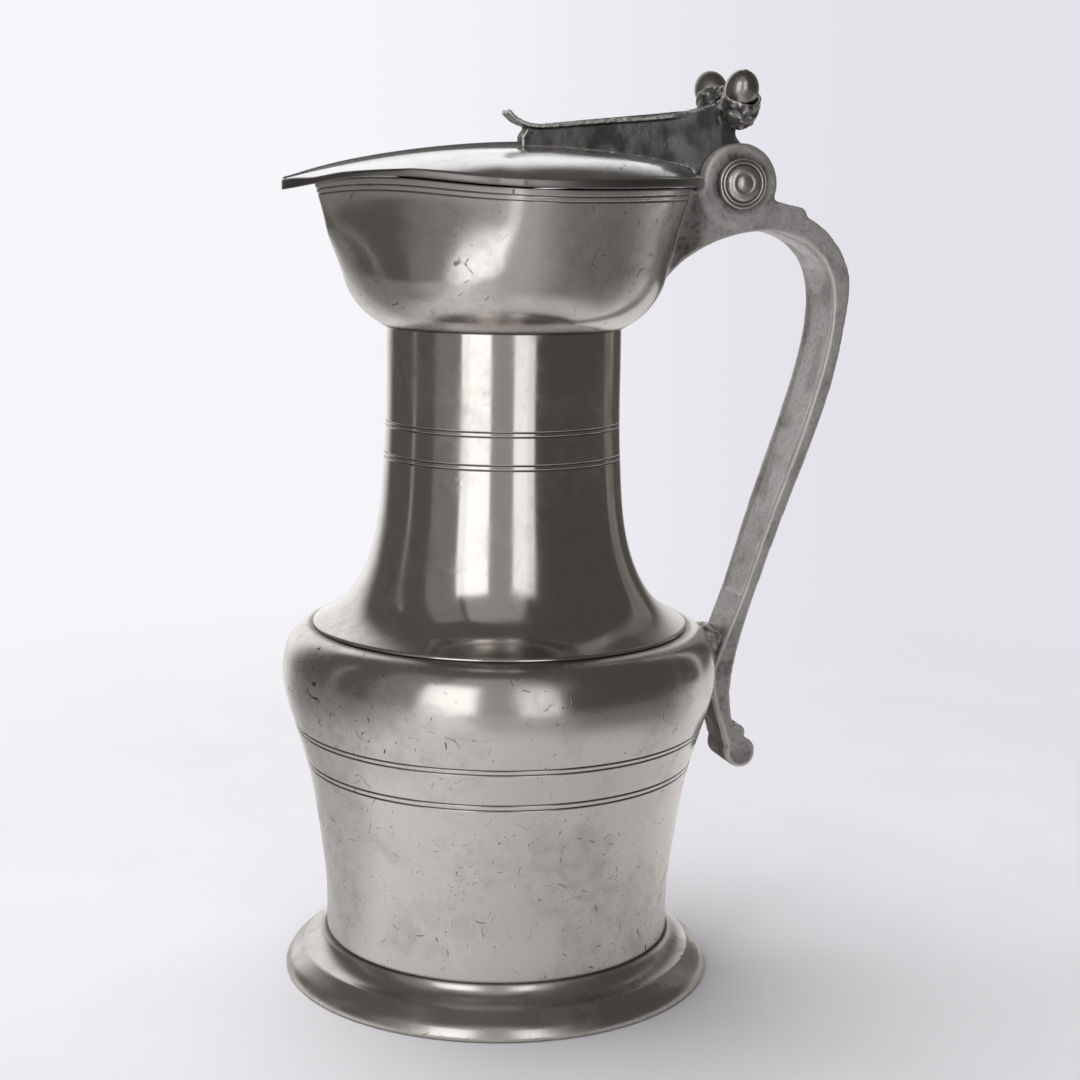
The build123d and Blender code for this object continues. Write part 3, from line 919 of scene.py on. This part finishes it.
@dataclass
class Bowl:
    """The pouring bowl with its flat flanks and its point.

    Attributes:
        rim: The wave of its rim.
        foot: The height of its foot.
        wall: Its wall.
        reach: How far its point stands out.
        corner: The angle from the point at which the flanks begin.
        softness: How far round its corners are softened, in degrees.
        steps: The number of points round it.
        line_drops: How far its turned lines lie under the rim.
        line_depth: The depth of a turned line.
        profile: Points of its curve at the back.
        inner_levels: The heights of the rings inside it.
    """

    rim: Rim
    foot: float = 174.0
    wall: float = 2.2
    reach: float = 3.1
    corner: float = 79.0
    softness: float = 7.0
    steps: int = 360
    line_drops: tuple[float, ...] = (1.75, 3.05)
    line_depth: float = 0.28
    profile: tuple[Point, ...] = (
        (31.6, 174.0), (36.06, 177.0), (39.5, 181.0), (41.9, 186.0), (43.1, 191.0),
        (44.3, 196.0), (45.6, 201.0), (47.2, 206.0), (48.8, 211.0), (50.4, 216.0),
    )
    inner_levels: tuple[float, ...] = (210, 209, 205, 200, 195, 190, 186, 183, 181, 179, 177.8)

    def __post_init__(self) -> None:
        """Draws its outline at the back once."""
        self.backs, self.heights = zip(*smooth_run(self.profile, 0.25))

    def sharp(self, angle: float, back: float, keel: float, roundness: float) -> float:
        """Returns the radius at an angle from the point, with sharp corners.

        Args:
            angle: The angle from the point, in degrees.
            back: The radius at the back.
            keel: The radius at the point.
            roundness: How round the flanks are, from 0 for flat to 1.

        Returns:
            The radius.
        """
        angle = abs((angle + 180) % 360 - 180)
        if angle >= self.corner:
            return back
        full = math.radians(self.corner)
        turn = math.radians(angle)
        flat = keel * back * math.sin(full)
        flat /= keel * math.sin(turn) + back * math.sin(full - turn)
        rounded = back + (keel - back) * (1 - angle / self.corner)
        return flat + roundness * (rounded - flat)

    def radius(self, angle: float, height: float) -> float:
        """Returns the outer radius at an angle from the point, in degrees, and a height."""
        back = float(np.interp(height, self.heights, self.backs))
        keel = back + self.reach * smooth_step(height, self.foot + 10, self.foot + 26)
        flatness = smooth_step(height, self.foot + 8, self.foot + 34)
        total = 0.0
        weight = 0.0
        for part in range(-4, 5):
            share = 1 + math.cos(math.pi * part / 5)
            spread = self.softness * part / 4
            total += share * self.sharp(angle + spread, back, keel, 1 - 0.8 * flatness)
            weight += share
        return total / weight

    def spot(self, turn: float, height: float, less: float) -> Vector:
        """Returns a point of the wall.

        Args:
            turn: The angle about the axis, from +X, in radians.
            height: The height before the rim's wave lifts it.
            less: How far inside the outer face it lies.

        Returns:
            The point, in metres.
        """
        angle = math.degrees(turn) - 180
        lift = smooth_step(height, self.rim.height - 18, self.rim.height)
        lifted = height + lift * self.rim.rise(self.radius(angle, height) * math.cos(turn))
        return ring_spot(self.radius(angle, lifted) - less, turn, lifted)

    def levels(self) -> list[Point]:
        """Returns the heights of the outer rings and how far each lies inside the face."""
        top = self.rim.height
        lines = [top - drop for drop in self.line_drops]
        plain = [self.foot, self.foot + 0.3, self.foot + 0.7]
        plain += [self.foot + 1.2 + 0.7 * step for step in range(50)]
        found = [(height, 0.0) for height in plain if all(abs(height - line) > 0.45 for line in lines)]
        for line in lines:
            for shift, deep in ((0.36, 0.0), (0.26, 0.0), (0.06, self.line_depth)):
                found += [(line - shift, deep), (line + shift, deep)]
        found += [(top - 0.25, 0.0), (top, 0.25)]
        return sorted(found)

    def build(self, finish: Material) -> None:
        """Makes and dresses the bowl with its finish."""
        levels = self.levels() + [(height, self.wall) for height in self.inner_levels]
        rings = [lambda turn, z=height, d=less: self.spot(turn, z, d) for height, less in levels]
        for radius, height in ((30.0, 175.6), (28.7, self.foot)):
            rings.append(lambda turn, r=radius, z=height: ring_spot(r, turn, z))
        bm = bmesh.new()
        first, last = grow_rings(bm, self.steps, rings)
        bmesh.ops.bridge_loops(bm, edges=first + last)
        piece = finish_mesh("bowl_shell", bm)
        fit_out(piece, finish, Body.PITCHER, Slot.POLISHED, "bowl", dirt=self.dirt)

    def dirt(self, spot: Vector) -> float:
        """Returns the dirt on the bowl, inside, in its lines and at its foot, and the painted shadow
        that the lid casts under its edge.
        """
        turn = math.degrees(math.atan2(spot.y, spot.x)) - 180
        depth = self.radius(turn, spot.z) - math.hypot(spot.x, spot.y)
        if depth > 1.0:
            return 0.35
        # Painted shadow: a band just under the lid's edge is darkened where the lid shades the bowl.
        below = self.rim.height + self.rim.rise(spot.x) - spot.z
        foot = 0.7 * smooth_step(spot.z, self.foot + 0.8, self.foot + 0.2)
        return max(foot, 0.9 * smooth_step(depth, 0.1, 0.25), 0.5 * smooth_step(below, 0.7, 0.2))


@dataclass
class Lid:
    """The heart-shaped lid with its crown, its hollow and its rib.

    Attributes:
        rim: The wave of the rim under it.
        tip: The radius at the tip.
        flank: The radius in the middle of a flank.
        flank_angle: The angle of that place from the tip.
        notch: The radius at a notch.
        notch_angle: The angle of the notch from the tip.
        back: The radius of the round back.
        shoulder_angle: The angle at which the back begins.
        crown_radius: The radius of the crown's ball.
        crown_top: The height of the crown.
        crown_shift: How far the crown's middle lies towards the hinge.
        wall: Its wall.
        seat: The width of its seat on the rim.
        shoulder: How far in from the edge the crown begins to fall off.
        steps: The number of points round it.
        top_insets: How far inside the edge the rings of the upper face lie.
        hollow_insets: How far inside the seat the rings of the hollow lie.
        rib_line: Points of the rib's top: place along X and height over the crown.
    """

    rim: Rim
    tip: float = 58.3
    flank: float = 51.2
    flank_angle: float = 36.0
    notch: float = 49.3
    notch_angle: float = 73.0
    back: float = 51.0
    shoulder_angle: float = 79.0
    crown_radius: float = 230.0
    crown_top: float = 219.8
    crown_shift: float = 5.0
    wall: float = 2.0
    seat: float = 6.0
    shoulder: float = 11.0
    steps: int = 360
    top_insets: tuple[float, ...] = (
        49.2, 46, 42, 38, 34, 30, 26, 22, 18, 14.5, 11.5, 9, 7, 5.5, 4.2, 3.2, 2.5, 2.0,
        1.5, 1.1, 0.75, 0.45, 0.25, 0.12, 0.03,
    )
    hollow_insets: tuple[float, ...] = (0.3, 1.0, 4.0, 9.0, 15.0, 22.0, 30.0, 38.0, 43.0)
    rib_line: tuple[Point, ...] = ((-57.9, 0.15), (-50.0, 0.6), (-30.0, 0.95), (-8.0, 1.3), (6.0, 1.6))

    def __post_init__(self) -> None:
        """Finds the circle of a flank once."""
        spots = [(self.notch, self.notch_angle), (self.flank, self.flank_angle), (self.tip, 0.0)]
        rows = [(2 * x, 2 * y, 1.0) for x, y in (polar(*spot) for spot in spots)]
        squares = [radius * radius for radius, angle in spots]
        self.flank_x, self.flank_y, self.flank_rest = np.linalg.solve(rows, squares).tolist()

    @staticmethod
    def from_tip(turn: float) -> float:
        """Returns the angle from the tip, in degrees, of an angle about the axis."""
        return abs(math.degrees(turn) % 360 - 180)

    def outline(self, turn: float) -> float:
        """Returns the outline's radius at an angle about the axis, in radians."""
        angle = self.from_tip(turn)
        if angle >= self.shoulder_angle:
            return self.back
        way = polar(1.0, angle)
        if angle > self.notch_angle:
            return self.back_to_notch(way)
        middle = way[0] * self.flank_x + way[1] * self.flank_y
        return middle + math.sqrt(middle * middle + self.flank_rest)

    def back_to_notch(self, way: Point) -> float:
        """Returns the radius where a ray crosses the short edge from the back to the notch."""
        ax, ay = polar(self.notch, self.notch_angle)
        bx, by = polar(self.back, self.shoulder_angle)
        return (ax * by - ay * bx) / (way[0] * (by - ay) - way[1] * (bx - ax))

    def band(self, turn: float) -> float:
        """Returns the height of the edge's band at an angle."""
        angle = self.from_tip(turn)
        return 1.75 + 0.55 * smooth_step(angle, 60.0, 110.0) + smooth_step(angle, 16.0, 3.0)

    def crown(self, x: float, y: float, sunk: float = 0.0) -> float:
        """Returns the crown's height at a place, sunk by a wall."""
        radius = self.crown_radius - sunk
        flat = (x - self.crown_shift) ** 2 + y * y
        return self.crown_top - self.crown_radius + math.sqrt(radius * radius - flat)

    def crown_round(self, radius: float, turn: float, sunk: float = 0.0) -> float:
        """Returns the crown's height at a radius and an angle, sunk by a wall."""
        return self.crown(radius * math.cos(turn), radius * math.sin(turn), sunk)

    def top(self, turn: float, inward: float) -> Vector:
        """Returns a point of the upper face.

        Args:
            turn: The angle about the axis, in radians.
            inward: How far inside the edge it lies.

        Returns:
            The point, in metres.
        """
        edge = self.outline(turn)
        radius = edge * max(0.0, 1 - inward / 50.0)
        band_top = self.low(turn, 0.0, self.band(turn)).z / MM
        drop = max(0.0, self.crown_round(edge, turn) - band_top)
        near = max(0.0, 1 - inward / self.shoulder)
        worn = 0.35 * max(0.0, 1 - inward / 0.6) ** 2
        return ring_spot(radius, turn, self.crown_round(radius, turn) - drop * near * near - worn)

    def low(self, turn: float, inward: float, rise: float) -> Vector:
        """Returns a point of the lower edge and the seat, rise millimetres above it."""
        radius = self.outline(turn) - inward
        height = self.rim.height + self.rim.rise(radius * math.cos(turn)) + self.rim.gap + rise
        return ring_spot(radius, turn, height)

    def hollow(self, turn: float, inward: float) -> Vector:
        """Returns a point of the hollow's roof."""
        radius = max(0.5, (self.outline(turn) - self.seat) * (1 - inward / 44.0))
        return ring_spot(radius, turn, self.crown_round(radius, turn, self.wall))

    def build(self, finish: Material, rib_finish: Material) -> None:
        """Makes and dresses the lid's plate and its rib.

        Args:
            finish: The plate's finish.
            rib_finish: The rib's finish.
        """
        rings = [lambda turn, d=inward: self.top(turn, d) for inward in self.top_insets]
        rings.append(lambda turn: self.low(turn, 0.0, self.band(turn) - 0.5))
        for inward, rise in ((0, 0.9), (0, 0.3), (0.1, 0.08), (0.35, 0), (self.seat - 0.3, 0)):
            rings.append(lambda turn, d=inward, up=rise: self.low(turn, d, up))
        rings += [lambda turn, d=inward: self.hollow(turn, d) for inward in self.hollow_insets]
        bm = bmesh.new()
        for ring in grow_rings(bm, self.steps, rings):
            merge_ring(bm, ring)
        plate = finish_mesh("lid_plate", bm)
        fit_out(plate, finish, Body.LID, Slot.POLISHED, "lid", dirt=self.dirt)
        self.build_rib(rib_finish)

    def dirt(self, spot: Vector) -> float:
        """Returns the painted shade under the lid and in its hollow, and how much darker it is at its
        edge band and beside the rib.
        """
        turn = math.atan2(spot.y, spot.x)
        edge = self.outline(turn) - math.hypot(spot.x, spot.y)
        above = spot.z - self.rim.height - self.rim.rise(spot.x) - self.rim.gap
        if edge < 0.5:
            # The edge band is darker except along its top.
            return 0.75 * smooth_step(self.band(turn) - above, 0.0, 0.4)
        # Painted shade: the seat under the edge and the hollow under the crown are darkened.
        under = smooth_step(above, 0.3, 0.1) if edge < self.seat + 1 else 0.0
        inside = 1.0 if self.crown(spot.x, spot.y) - spot.z > 1.4 and edge > self.seat else 0.0
        beside = smooth_step(abs(spot.y), 2.3, 1.6) * smooth_step(spot.x, 8.0, 3.0)
        return max(0.5 * under, 0.45 * inside, 0.6 * beside)

    def build_rib(self, finish: Material) -> None:
        """Makes and dresses the rib with its finish."""
        sections = []
        for x, rise in smooth_run(self.rib_line, 1.5):
            top = self.crown(x, 0.0) + rise
            foot = self.crown(x, 0.0) - 0.8
            half = 1.5 * smooth_step(x, -61.5, -54.0)
            side = [(-half - 0.35, foot), (-half, foot + 1.0), (-half, top - 0.35)]
            side += [(-half + 0.3, top - 0.08), (0.0, top)]
            ring = side + [(-y, z) for y, z in reversed(side[:-1])]
            sections.append([Vector((x, y, z)) * MM for y, z in ring])
        bm = bmesh.new()
        bar(bm, sections)
        fit_out(finish_mesh("lid_rib", bm), finish, Body.LID, Slot.POLISHED)


@dataclass
class Hinge:
    """The pin's ringed heads.

    Attributes:
        center: The hinge's axis, in metres.
        ear: Half the width over the ears.
        radius: The heads' radius.
        height: How far the heads stand out.
        profile: A head's section, as shares of its radius and height: a rim, a groove and rings.
        grooves: The grooves' radii, as shares of the head's.
    """

    center: Vector
    ear: float = 8.3
    radius: float = 6.9
    height: float = 3.2
    profile: tuple[Point, ...] = (
        (0.0, 0.97), (0.05, 1.0), (0.10, 0.97), (0.26, 0.95), (0.30, 0.89), (0.34, 0.89),
        (0.37, 0.93), (0.50, 0.88), (0.60, 0.80), (0.66, 0.70), (0.69, 0.58), (0.72, 0.58),
        (0.75, 0.66), (0.82, 0.66), (0.84, 0.58), (0.87, 0.58), (0.89, 0.63), (0.95, 0.58),
        (0.99, 0.42), (1.0, 0.0), (0.0, 0.0),
    )
    grooves: tuple[float, ...] = (0.705, 0.855)

    def build(self, finish: Material) -> None:
        """Makes and dresses the heads with their finish, and dresses the pin."""
        for name, side in (("near", -1), ("far", 1)):
            outline = [(r * self.radius, side * (self.ear + self.height * y)) for r, y in self.profile]
            piece = turned("pin_cap_" + name, outline, 96, self.center, Vector((0, 1, 0)))
            fit_out(piece, finish, Body.PITCHER, Slot.POLISHED, "pin_head_" + name, dirt=self.dirt)
        dress(frame["nodes"]["hinge_pin"], finish)

    def dirt(self, spot: Vector) -> float:
        """Returns the dirt in the heads' grooves."""
        away = spot - self.center / MM
        radius = math.hypot(away.x, away.z) / self.radius
        rings = [smooth_step(abs(radius - groove), 0.03, 0.015) for groove in self.grooves]
        inner = 0.6 * smooth_step(abs(radius - 0.32), 0.03, 0.015)
        return 0.95 * max(*rings, inner, smooth_step(radius, 0.98, 1.0))


@dataclass
class Castings:
    """The handle, its solder and the lever, which keep the rough skin of their moulds.

    Attributes:
        hinge: The hinge's axis, in metres.
        ear: The radius within which the handle's ears are worn round.
        ear_rim: The radius of the ears' rim, which gets a painted highlight.
        head: The radius of the pin's heads.
    """

    hinge: Vector
    ear: float = 12.5
    ear_rim: float = 11.3
    head: float = 7.2

    def near_ear(self, spot: Vector) -> bool:
        """Tells whether a point, in millimetres, lies on an ear's outer face or edge."""
        away = spot - self.hinge / MM
        return self.head < math.hypot(away.x, away.z) < self.ear and abs(away.y) > 4.9

    def handle_dirt_and_painted_light(self, spot: Vector) -> float:
        """Returns the handle's dirt and painted light: dirt in clouds, darker round the pin's heads and
        on the tail, and painted shade by the bowl and in the scroll.

        The ears' rims get a painted highlight on the side towards the bowl.
        """
        away = spot - self.hinge / MM
        radius = math.hypot(away.x, away.z)
        around = 0.5 * smooth_step(radius, 8.9, self.head)
        # Painted shade on the handle beside the bowl, below the hinge.
        painted_shade_by_bowl = 0.5 * smooth_step(away.x, -7.5, -13.0) * smooth_step(away.z, 2.0, -3.0)
        cloud = 0.3 * smooth_step(noise.noise(spot * 0.16), -0.1, 0.5)
        fine = 0.25 * smooth_step(noise.noise(spot * 0.9), 0.0, 0.5)
        # Darker on the tail, below 97 mm.
        tail = 0.3 * smooth_step(spot.z, 97.0, 90.0)
        # Painted shade: below 80 mm the scroll is darkened except on its near face.
        painted_shade_in_scroll = 0.6 * smooth_step(spot.z, 80.0, 77.0) * smooth_step(spot.y, -5.5, -4.0)
        # Painted highlight: the ears' rims are brightened on the side towards the bowl.
        rim = 0.5 * smooth_step(abs(radius - self.ear_rim), 1.5, 0.6) * smooth_step(away.x, 5.0, -2.0)
        return min(1.0, around + painted_shade_by_bowl + cloud + fine + tail + painted_shade_in_scroll) - rim

    def lever_dirt(self, spot: Vector) -> float:
        """Returns the dirt on the lever, in broad clouds."""
        return 0.4 + 0.35 * smooth_step(noise.noise(spot * 0.2), -0.2, 0.4)

    def build(self, strap: Material, rough: Material) -> None:
        """Makes and dresses the handle, its solder and the lever.

        Args:
            strap: The finish of the handle and the solder.
            rough: The finish of the lever.
        """
        skin = Casting(
            voxel=0.4,
            passes=4,
            lumps=0.06,
            lump_size=3.0,
            softer_passes=14,
            softer=self.near_ear,
        )
        blob = Casting(voxel=0.35, passes=2, lumps=0.7, lump_size=1.8)
        web = Casting(voxel=0.28, passes=3, lumps=0.09, lump_size=1.5)
        for casting, node, name, body, finish, dirt, worn in (
            (skin, "handle", "handle_casting", Body.PITCHER, strap, self.handle_dirt_and_painted_light, 0.75),
            (blob, "handle_solder", "solder_joint", Body.PITCHER, strap, self.handle_dirt_and_painted_light, 0.8),
            (web, "lid_lever", "lid_lever_casting", Body.LID, rough, self.lever_dirt, 0.9),
        ):
            piece = casting.take(node, name)
            fit_out(piece, finish, body, Slot.CAST, node, dirt=dirt, worn=worn)


@dataclass
class Thumbpiece:
    """The twin acorns in their rough cups.

    Attributes:
        hinge: The hinge's axis, in metres.
        spread: How far each cup lies from the middle.
        rise: How high the cups lie above the hinge.
        far_rise: How much higher the far cup lies.
        tilt: How far the acorns lean outwards, in degrees.
        reach: The distance from a cup's middle to its acorn's.
        acorn: An acorn's radius.
        cup_back: How far the cups lie on the lid's side of the hinge.
        acorn_back: How much further the acorns lie to that side.
        cup_profile: Points of a cup's section outside, from its foot to the rim that grips.
        cup_inside: The rest of its section.
    """

    hinge: Vector
    spread: float = 7.5
    rise: float = 18.5
    far_rise: float = 0.8
    tilt: float = 30.0
    reach: float = 6.4
    acorn: float = 4.5
    cup_back: float = 1.08
    acorn_back: float = 0.72
    cup_profile: tuple[Point, ...] = (
        (0.0, -4.5), (2.4, -3.9), (4.3, -2.0), (5.0, 0.4), (5.1, 2.4), (5.2, 4.1), (4.95, 4.9),
    )
    cup_inside: tuple[Point, ...] = ((4.3, 4.7), (3.9, 3.4), (0.0, 1.6))

    def acorn_outline(self) -> list[Point]:
        """Returns an acorn's section: an egg with a small nub on its tip."""
        length = 1.2 * self.acorn
        spots = [(0.0, -length)]
        for part in range(1, 23):
            turn = math.pi * part / 24 - math.pi / 2
            spots.append((self.acorn * math.cos(turn), length * math.sin(turn)))
        return spots + [(0.75, length - 0.08), (0.55, length + 0.2), (0.0, length + 0.3)]

    def build(self, acorn: Material, rough: Material) -> None:
        """Makes and dresses the acorns and the cups.

        Args:
            acorn: The acorns' finish.
            rough: The cups' finish.
        """
        shells = bmesh.new()
        lean = math.radians(self.tilt)
        cup = smooth_run(self.cup_profile, 0.6) + list(self.cup_inside)
        for name, side, more in (("acorn_near", -1, 0.0), ("acorn_far", 1, self.far_rise)):
            axis = Vector((0.0, side * math.sin(lean), math.cos(lean)))
            seat = self.hinge + Vector((-self.cup_back, side * self.spread, self.rise + more)) * MM
            middle = seat + axis * self.reach * MM + Vector((-self.acorn_back, 0, 0)) * MM
            piece = turned(name, self.acorn_outline(), 72, middle, axis)
            fit_out(
                piece,
                acorn,
                Body.LID,
                Slot.CAST,
                dirt=lambda spot, m=middle, a=axis: self.acorn_cup_shade(spot, m / MM, a),
            )
            spin_outline(shells, cup, 48, seat, axis)
        for x, y, z, radius in self.lumps():
            lump = Matrix.Translation(self.hinge + Vector((x, y, z)) * MM)
            bmesh.ops.create_icosphere(shells, subdivisions=3, radius=radius * MM, matrix=lump)
        bmesh.ops.recalc_face_normals(shells, faces=shells.faces)
        cups = Casting(voxel=0.26, passes=2, lumps=0.5, lump_size=1.7).soften("acorn_cups", shells)
        fit_out(cups, rough, Body.LID, Slot.CAST, "thumbpiece", dirt=self.cup_dirt, worn=0.9)

    def lumps(self) -> list[tuple[float, float, float, float]]:
        """Returns the lumps that join cups and lever: place from the hinge and radius."""
        found = [(-0.4, 0.0, self.rise, 4.6), (-0.6, 0.0, self.rise + 4.4, 2.7), (-6.0, 0.0, 17.4, 2.6)]
        for side in (-1, 1):
            found.append((-3.8, side * 3.6, 17.4, 2.6))
            found.append((-4.4, side * 7.4, self.rise + 1.2, 2.3))
            found.append((-1.0, side * 3.6, self.rise + 4.6, 2.4))
        return found

    def acorn_cup_shade(self, spot: Vector, middle: Vector, axis: Vector) -> float:
        """Returns the painted shade on an acorn, dark where its cup grips it."""
        return 0.6 * smooth_step((spot - middle).dot(axis), -2.6, -3.8)

    def cup_dirt(self, spot: Vector) -> float:
        """Returns the dirt on the cups, in clouds."""
        return 0.35 + 0.4 * smooth_step(noise.noise(spot * 0.5), -0.2, 0.35)


# The studio, in metres


@dataclass
class Studio:
    """The pale floor, the lamps and the camera.

    Attributes:
        lens: The camera's focal length on a sensor 36 mm wide.
        place: Where the camera stands.
        turn: The camera's turn, in degrees.
        swing: The angle between the photographed side and the object's own side, in degrees.
        floor_radius: The floor's radius.
        lamps: Each standing lamp's name, angle from the camera's side in degrees, distance,
            width, height and radiance.
    """

    lens: float = 66.1
    place: Triple = (-0.1438, -0.5015, 0.2075)
    turn: Triple = (80.162, -0.886, -16.989)
    swing: float = -16.0
    floor_radius: float = 0.9
    lamps: tuple[tuple[str, float, float, float, float, float], ...] = (
        ("tall_left", -25.0, 0.72, 0.36, 0.61, 1.3),
        ("tall_right", 20.5, 0.72, 0.25, 0.6, 1.0),
        ("dim_sheet", -4.0, 0.95, 1.0, 1.8, 0.27),
        ("faint_left", -52.0, 0.9, 0.5, 1.5, 0.13),
        ("thin_left", -93.0, 0.8, 0.05, 0.7, 0.25),
        ("thin_right", 128.0, 0.8, 0.07, 0.9, 0.5),
    )

    def across(self, right: float, back: float, up: float = 0.0) -> Vector:
        """Returns a direction or place given as seen from the camera, in the object's frame."""
        turn = math.radians(self.swing)
        x = right * math.cos(turn) - back * math.sin(turn)
        y = right * math.sin(turn) + back * math.cos(turn)
        return Vector((x, y, up))

    def way(self, angle: float, far: float = 1.0, up: float = 0.0) -> Vector:
        """Returns a place far off at an angle from the camera's side, right positive."""
        turn = math.radians(angle)
        return self.across(far * math.sin(turn), -far * math.cos(turn), up)

    def add_camera(self) -> None:
        """Adds the camera at the photographed angle."""
        data = bpy.data.cameras.new("camera")
        data.lens = self.lens
        data.sensor_width = 36.0
        camera = bpy.data.objects.new("camera", data)
        camera.location = self.place
        camera.rotation_euler = Euler([math.radians(part) for part in self.turn])
        bpy.context.scene.collection.objects.link(camera)
        bpy.context.scene.camera = camera

    def add_lamp(self, name: str, seat: Vector, aim: Vector, size: Point, radiance: float) -> Piece:
        """Adds a soft lamp.

        Args:
            name: The lamp's name.
            seat: Where it stands.
            aim: Where it looks.
            size: Its width and height.
            radiance: How bright its face looks.

        Returns:
            The lamp.
        """
        data = bpy.data.lights.new(name, "AREA")
        data.shape = "RECTANGLE"
        data.size, data.size_y = size
        data.energy = radiance * math.pi * size[0] * size[1]
        lamp = bpy.data.objects.new(name, data)
        lamp.location = seat
        lamp.rotation_euler = (aim - seat).to_track_quat("-Z", "Y").to_euler()
        lamp.visible_camera = False
        bpy.context.scene.collection.objects.link(lamp)
        return lamp

    def add_lamps(self) -> None:
        """Adds the standing lamps, and one lamp above that the metal doesn't mirror."""
        for name, angle, far, width, height, radiance in self.lamps:
            middle = height / 2
            seat = self.way(angle, far, middle)
            self.add_lamp(name, seat, UPWARDS * middle, (width, height), radiance)
        seat = self.across(-0.35, 0.25, 1.3)
        above = self.add_lamp("above", seat, UPWARDS * 0.12, (1.5, 1.5), 2.9)
        above.visible_glossy = False

    def add_world(self) -> None:
        """Adds the pale surroundings that the camera sees and the dim room that the metal mirrors."""
        world = bpy.data.worlds.new("studio")
        world.use_nodes = True
        desk = Nodes(world.node_tree)
        way = desk.add("TexCoord").outputs["Generated"]
        camera_ray = desk.add("LightPath").outputs["Is Camera Ray"]
        side = desk.dot(way, self.across(1.0, 0.0))
        dim = desk.blend(desk.ramp(side, -0.7, 0.7), (0.115, 0.108, 0.101), (0.088, 0.082, 0.077))
        behind = desk.dot(way, self.across(-0.2, 0.94, 0.28).normalized())
        room = desk.blend(desk.ramp(behind, 0.76, 0.94), dim, (1.1, 1.09, 1.1))
        # Painted shade: the backdrop that the camera sees is pale on the left and darker on the right.
        sheet = desk.blend(desk.ramp(side, -0.12, 0.2), (0.93, 0.925, 0.965), (0.77, 0.76, 0.81))
        color = desk.blend(camera_ray, room, sheet)
        desk.show(desk.add("Background", None, Color=color, Strength=1.0).outputs[0], "OutputWorld")
        bpy.context.scene.world = world

    def add_floor(self) -> None:
        """Adds a pale floor that fades out away from the object."""
        bm = bmesh.new()
        bmesh.ops.create_circle(bm, cap_ends=True, radius=self.floor_radius, segments=96)
        bmesh.ops.translate(bm, verts=bm.verts, vec=(0, 0, -0.0002))
        floor = finish_mesh("floor", bm)
        material = bpy.data.materials.new("pale_floor")
        material.use_nodes = True
        desk = Nodes(material.node_tree)
        coords = desk.add("TexCoord").outputs["Object"]
        away = desk.add("VectorMath", {"operation": "LENGTH"})
        desk.feed(away.inputs[0], coords)
        length = away.outputs["Value"]
        mirrored = desk.add("LightPath").outputs["Is Glossy Ray"]
        speck = desk.ramp(desk.noise(coords, 0.05), 0.3, 0.7)
        color = desk.blend(speck, (0.80, 0.795, 0.83), (0.82, 0.815, 0.85))
        color = desk.blend(mirrored, color, self.mirrored_floor(desk, coords, length))
        fade = desk.times(desk.ramp(length, 0.16, 0.55), desk.less(1.0, mirrored))
        paper = desk.add("BsdfDiffuse", None, Color=color).outputs[0]
        mix = desk.add("MixShader")
        for socket, value in zip(mix.inputs, (fade, paper, desk.add("BsdfTransparent").outputs[0])):
            desk.feed(socket, value)
        desk.show(mix.outputs[0])
        dress(floor, material)

    def mirrored_floor(self, desk: Nodes, coords: Socket, length: Socket) -> Socket:
        """Paints light and shade on the floor as the metal mirrors it: pale behind and near the foot,
        dim before it and at the sides, with a painted stripe of lamp light.

        Args:
            desk: The nodes to add to.
            coords: The floor's coordinates.
            length: The distance from the middle.

        Returns:
            The colour.
        """

        def sector(angle: float, low: float, high: float) -> Socket:
            """Returns how far a place lies in the direction of an angle from the camera's side."""
            return desk.ramp(desk.math("DIVIDE", desk.dot(coords, self.way(angle)), length), low, high)

        sides = desk.times(sector(-112.0, 0.6, 0.97), 0.35)
        sides = desk.plus(sides, desk.times(sector(50.0, 0.6, 0.97), 0.02))
        near_level = desk.less(1.04, sides)
        far_level = desk.plus(0.28, sector(165.0, 0.2, 0.9))
        far_level = desk.plus(far_level, desk.times(sector(-15.0, 0.5, 0.9), 0.3))
        near = desk.ramp(length, 0.11, 0.24, 1, 0)
        level = desk.plus(far_level, desk.times(near, desk.less(near_level, far_level)))
        # Painted reflection: a pale stripe on the floor in front stands in for the tall left lamp
        # reaching below the floor.
        stripe_angle = -28.0
        aside = desk.math("ABSOLUTE", desk.dot(coords, self.way(stripe_angle + 90.0)))
        ahead = desk.ramp(desk.dot(coords, self.way(stripe_angle)), 0.14, 0.26)
        painted_lamp_stripe = desk.times(desk.ramp(aside, 0.1, 0.05), ahead)
        level = desk.plus(level, desk.times(painted_lamp_stripe, 0.55))
        return desk.blend(level, (0.0, 0.0, 0.0), (0.84, 0.825, 0.83))

    def build(self) -> None:
        """Sets up the camera, the surroundings, the floor and the lamps."""
        self.add_camera()
        self.add_world()
        self.add_floor()
        self.add_lamps()
        bpy.context.scene.view_settings.view_transform = "Standard"


def main() -> None:
    """Builds the studio and the flagon, from the foot up to the lid."""
    Studio().build()
    rim = Rim()
    pin = Vector(frame["joints"][0]["pos_m"])
    rough = ROUGH_CAST.make()
    LowerBody().build(FOOT_PEWTER.make(), SATIN.make())
    Neck().build(BURNISHED.make())
    Bowl(rim).build(BOWL_PEWTER.make())
    Lid(rim).build(LID_PEWTER.make(), rough)
    Hinge(pin).build(PIN_PEWTER.make())
    Castings(pin).build(STRAP_CAST.make(), rough)
    Thumbpiece(pin).build(ACORN_PEWTER.make(), rough)


if __name__ == "__main__":
    main()
